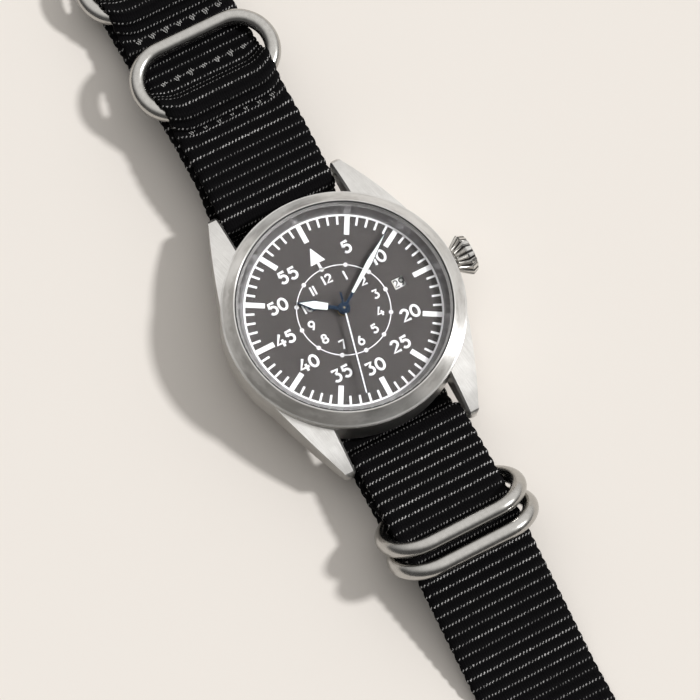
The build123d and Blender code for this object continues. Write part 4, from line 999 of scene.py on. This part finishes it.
def stitch_row(place):
    """One row of zigzag stitches across the sloping strap, as thread."""
    curve = bpy.data.curves.new("stitches", "CURVE")
    curve.dimensions = "3D"
    curve.bevel_depth = thread_radius * mm
    curve.bevel_resolution = 1
    curve.use_fill_caps = True
    for stitch in range(stitches_a_row):
        middle = strap_shift + (stitch - (stitches_a_row - 1) / 2) * stitch_pitch
        spline = curve.splines.new("POLY")
        spline.points.add(len(stitch_shape) - 1)
        for point, (x, y) in zip(spline.points, stitch_shape):
            along, level = on_slope(place + y * (1 + stitch % 3 * stitch_growth), strap_thickness / 2)
            point.co = ((middle + x) * mm, along * mm, level * mm, 1)
    row = bpy.data.objects.new("stitches", curve)
    bpy.context.collection.objects.link(row)
    take(row)
    bpy.ops.object.convert(target="MESH")
    return bpy.context.object


stitches = joined([stitch_row(place) for place in stitch_rows], "stitches")
finished(stitches, "case", thread_finish)


# Dial print
def arc(centre, size, first, last, steps=14):
    """Points on part of an ellipse, angles in degrees from the right."""
    turns = [radians(first + (last - first) * step / steps) for step in range(steps + 1)]
    return [(centre[0] + size[0] * cos(turn), centre[1] + size[1] * sin(turn)) for turn in turns]


# The strokes of each figure in shares of its height, from its middle
figure_strokes = {
    "0": [arc((0, 0), (0.29, 0.42), 90, 450, 32)],
    "1": [[(0, -0.5), (0, 0.5)]],
    "2": [[*arc((0, 0.17), (0.25, 0.25), 165, -38, 16), (-0.27, -0.42), (0.31, -0.42)]],
    "3": [
        [(-0.25, 0.42), (0.24, 0.42), (-0.02, 0.11)],
        arc((-0.03, -0.15), (0.27, 0.27), 90, -145, 18),
    ],
    "4": [[(0.12, 0.5), (-0.32, -0.2), (0.36, -0.2)], [(0.14, 0.06), (0.14, -0.5)]],
    "5": [
        [(0.25, 0.42), (-0.18, 0.42), (-0.21, 0.06)],
        arc((-0.01, -0.14), (0.27, 0.28), 135, -148, 20),
    ],
    "6": [arc((0, -0.15), (0.27, 0.27), 90, 450, 26), [(-0.25, -0.05), (-0.06, 0.30), (0.10, 0.5)]],
    "7": [[(-0.28, 0.42), (0.27, 0.42), (-0.06, -0.5)]],
    "8": [
        arc((0, -0.19), (0.27, 0.24), 90, 450, 24),
        arc((0, 0.23), (0.21, 0.20), 90, 450, 22),
    ],
    "9": [arc((0, 0.15), (0.27, 0.27), 90, 450, 26), [(0.25, 0.05), (0.06, -0.30), (-0.10, -0.5)]],
}
figure_widths = {"1": 0.34}
plain_figure_width = 0.80
same_place = 0.001
print_edge_share = 0.3
plate_edge_share = 0.4


def figures(text, height, stroke, place, bottom, name):
    """Printed figures: flat strokes of even width, centred on a place."""
    curve = bpy.data.curves.new(name, "CURVE")
    curve.dimensions = "3D"
    curve.bevel_depth = stroke / 2 * mm
    curve.bevel_resolution = 1
    curve.use_fill_caps = True
    widths = [figure_widths.get(figure, plain_figure_width) * height for figure in text]
    start = place[0] - sum(widths) / 2
    for figure, width in zip(text, widths):
        middle = start + width / 2
        start += width
        for stroke_points in figure_strokes[figure]:
            first = Vector(stroke_points[0])
            closed = (first - Vector(stroke_points[-1])).length < same_place
            points = stroke_points[:-1] if closed else stroke_points
            spline = curve.splines.new("POLY")
            spline.points.add(len(points) - 1)
            spline.use_cyclic_u = closed
            for point, (x, y) in zip(spline.points, points):
                point.co = ((middle + x * height) * mm, (place[1] + y * height) * mm, 0, 1)
    drawn = bpy.data.objects.new(name, curve)
    bpy.context.collection.objects.link(drawn)
    take(drawn)
    bpy.ops.object.convert(target="MESH")
    drawn = bpy.context.object
    drawn.scale.z = 2 * print_height / stroke
    drawn.location.z = bottom * mm
    return settle(drawn, name)


def bar(start, end, width, clock, bottom, height=print_height):
    """A printed bar that points out from the dial's middle."""
    turn = radians(clock)
    middle = (start + end) / 2
    start_clean()
    bpy.ops.mesh.primitive_cube_add(
        size=mm,
        location=(middle * sin(turn) * mm, middle * cos(turn) * mm, (bottom + height / 2) * mm),
        rotation=(0, 0, -turn),
        scale=(width, end - start, height),
    )
    bpy.ops.object.mode_set(mode="EDIT")
    bpy.ops.mesh.select_all(action="SELECT")
    bpy.ops.mesh.bevel(offset=height * print_edge_share * mm, segments=1)
    bpy.ops.object.mode_set(mode="OBJECT")
    return bpy.context.object


def hoop(radius, width, bottom, height=print_height):
    """A printed circle line."""
    start_clean()
    bpy.ops.mesh.primitive_circle_add(
        vertices=192, radius=(radius + width / 2) * mm, fill_type="NGON", location=(0, 0, bottom * mm)
    )
    bpy.ops.object.mode_set(mode="EDIT")
    bpy.ops.mesh.select_all(action="SELECT")
    bpy.ops.mesh.inset(thickness=width * mm)
    bpy.ops.mesh.delete(type="FACE")
    bpy.ops.mesh.select_all(action="SELECT")
    bpy.ops.mesh.extrude_region_move(TRANSFORM_OT_translate={"value": (0, 0, height * mm)})
    bpy.ops.mesh.select_all(action="SELECT")
    bpy.ops.mesh.normals_make_consistent(inside=False)
    bpy.ops.object.mode_set(mode="OBJECT")
    return bpy.context.object


def dot(radius, place, bottom, height=print_height):
    """A printed dot."""
    start_clean()
    bpy.ops.mesh.primitive_cylinder_add(
        vertices=32,
        radius=radius * mm,
        depth=height * mm,
        location=(place[0] * mm, place[1] * mm, (bottom + height / 2) * mm),
    )
    return bpy.context.object


def on_clock(radius, clock):
    """The place at a radius and a clock angle."""
    return radius * sin(radians(clock)), radius * cos(radians(clock))


def outline_plate(name, points, bottom, height):
    """A flat plate of the outline given, with its top edge eased."""
    data = bpy.data.meshes.new(name)
    data.from_pydata([(x * mm, y * mm, bottom * mm) for x, y in points], [], [list(range(len(points)))])
    plate = bpy.data.objects.new(name, data)
    bpy.context.collection.objects.link(plate)
    take(plate)
    bpy.ops.object.mode_set(mode="EDIT")
    bpy.ops.mesh.select_all(action="SELECT")
    bpy.ops.mesh.extrude_region_move(TRANSFORM_OT_translate={"value": (0, 0, height * mm)})
    bpy.ops.mesh.select_all(action="SELECT")
    bpy.ops.mesh.normals_make_consistent(inside=False)
    bpy.ops.mesh.bevel(offset=height * plate_edge_share * mm, segments=2)
    bpy.ops.object.mode_set(mode="OBJECT")
    return plate


# Radii as shares of the minute track's outer edge
bar_end_share = 0.985
minute_start_share = 0.89
five_start_share = 0.785
hoop_share = 0.02
minute_bar_width = 0.36
five_bar_width = 0.84
hoop_middle = track_radius * (1 - hoop_share / 2)
outer_track = [hoop(hoop_middle, track_radius * hoop_share, dial_top)]
for minute in range(60):
    clock = minute * 6
    start_share = minute_start_share if minute % 5 else five_start_share
    width = minute_bar_width if minute % 5 else five_bar_width
    outer_track.append(
        bar(track_radius * start_share, track_radius * bar_end_share, width, clock, dial_top)
    )
finished(joined(outer_track, "minute_track"), "case", print_white)

hour_radius = 7.43
hour_line = 0.16
hour_dot = 0.36
arrow_foot = 8.65
arrow_tip = 11.35
arrow_half = 1.28
arrow_stem = 0.42
arrow_overlap = 0.15
inner_track = [hoop(hour_radius, hour_line, dial_top)]
for hour in range(12):
    inner_track.append(dot(hour_dot, on_clock(hour_radius, hour * 30), dial_top))
inner_track.append(bar(hour_radius, arrow_foot + arrow_overlap, arrow_stem, 0, dial_top))
arrow_points = [(-arrow_half, arrow_foot), (arrow_half, arrow_foot), (0, arrow_tip)]
inner_track.append(outline_plate("arrow", arrow_points, dial_top, print_height))
finished(joined(inner_track, "hour_circle"), "case", print_white)

minute_radius = 10.4
minute_height = 2.15
minute_stroke = 0.44
minute_figures = []
for minute in range(5, 60, 5):
    if minute == 15:
        continue
    middle = on_clock(minute_radius, minute * 6)
    name = f"minute_{minute}"
    minute_figures.append(figures(str(minute), minute_height, minute_stroke, middle, dial_top, name))
finished(joined(minute_figures, "minute_figures"), "case", print_white)

hour_figure_radius = 5.68
hour_height = 1.55
hour_stroke = 0.33
hour_figures = []
for hour in range(1, 13):
    middle = on_clock(hour_figure_radius, hour * 30)
    hour_figures.append(figures(str(hour), hour_height, hour_stroke, middle, dial_top, f"hour_{hour}"))
finished(joined(hour_figures, "hour_figures"), "case", print_white)

# The date stands a little aside, so that it shows in the window's middle from the camera
date_height = 1.32
date_stroke = 0.21
date_middle = (date_place + 0.12, 0.15)
date_figures = figures("29", date_height, date_stroke, date_middle, date_ring_top, "date_figures")
finished(date_figures, "date_body", print_black)


# Hands' lume
def turned(points, clock):
    """Points of a hand that points at 12, turned to its clock angle."""
    turn = radians(clock)
    return [(x * cos(turn) + y * sin(turn), y * cos(turn) - x * sin(turn)) for x, y in points]


hour_clock = 304.5
minute_clock = 55.5
seconds_clock = 194
hour_hand_top = 10.90
minute_hand_top = 11.25
seconds_hand_top = 11.60
lume_height = 0.05
hour_outline = [(-0.55, 2.55), (0.55, 2.55), (0.66, 4.75), (0, 7.1), (-0.66, 4.75)]
minute_outline = [(-0.22, 2.9), (0.22, 2.9), (0.43, 8.6), (0, 13.9), (-0.43, 8.6)]
seconds_outline = [(-0.12, 1.0), (0.12, 1.0), (0.10, 14.3), (-0.10, 14.3)]
hour_lume = outline_plate("hour_lume", turned(hour_outline, hour_clock), hour_hand_top, lume_height)
finished(hour_lume, "hour_body", lume_white)
minute_lume = outline_plate(
    "minute_lume", turned(minute_outline, minute_clock), minute_hand_top, lume_height
)
finished(minute_lume, "minute_body", lume_white)
seconds_paint = outline_plate(
    "seconds_paint", turned(seconds_outline, seconds_clock), seconds_hand_top, print_height
)
finished(seconds_paint, "seconds_body", print_white)


# Floor, light and surroundings
floor_side = 6


def make_floor():
    """A wide pale floor with a faint unevenness."""
    start_clean()
    bpy.ops.mesh.primitive_plane_add(size=floor_side, location=(0, 0, 0))
    floor_piece = settle(bpy.context.object, "floor")
    finish = grained_finish(
        "pale_floor", (0.868, 0.820, 0.765), (0.874, 0.826, 0.771), (0.90, 0.95), 20.0
    )
    floor_piece.data.materials.append(finish)


make_floor()

key_strength = 2.2
key_spread = radians(6)
key_height = radians(45.2)
key_flat_way = (0.934, -0.358)
key_direction = Vector(
    (key_flat_way[0] * cos(key_height), key_flat_way[1] * cos(key_height), sin(key_height))
)
key_data = bpy.data.lights.new("key", "SUN")
key_data.energy = key_strength
key_data.angle = key_spread
key = bpy.data.objects.new("key", key_data)
key.rotation_mode = "QUATERNION"
key.rotation_quaternion = key_direction.to_track_quat("Z", "Y")
bpy.context.collection.objects.link(key)

# The surroundings brighten towards one side above; metal sees them with more contrast
bright_way = Vector((0.35, 0.45, 0.82)).normalized()
soft_span = (0.2, 1.0, 0.23, 0.76)
mirrored_span = (0.1, 0.95, 0.12, 1.15)
world = bpy.data.worlds.new("surroundings")
bpy.context.scene.world = world
world.use_nodes = True
sky_tree = world.node_tree
sky = sky_tree.nodes["Background"]
direction = shader(sky_tree, "TexCoord").outputs["Generated"]
facing = shader(sky_tree, "VectorMath", {0: direction, 1: bright_way}, operation="DOT_PRODUCT")
toward = facing.outputs["Value"]
path = shader(sky_tree, "LightPath")
soft = ramp(sky_tree, toward, *soft_span)
mirrored = ramp(sky_tree, toward, *mirrored_span)
seen = blend_values(sky_tree, path.outputs["Is Glossy Ray"], soft, mirrored)
sky_tree.links.new(seen, sky.inputs["Strength"])
sky.inputs["Color"].default_value = (1.0, 0.985, 0.965, 1)
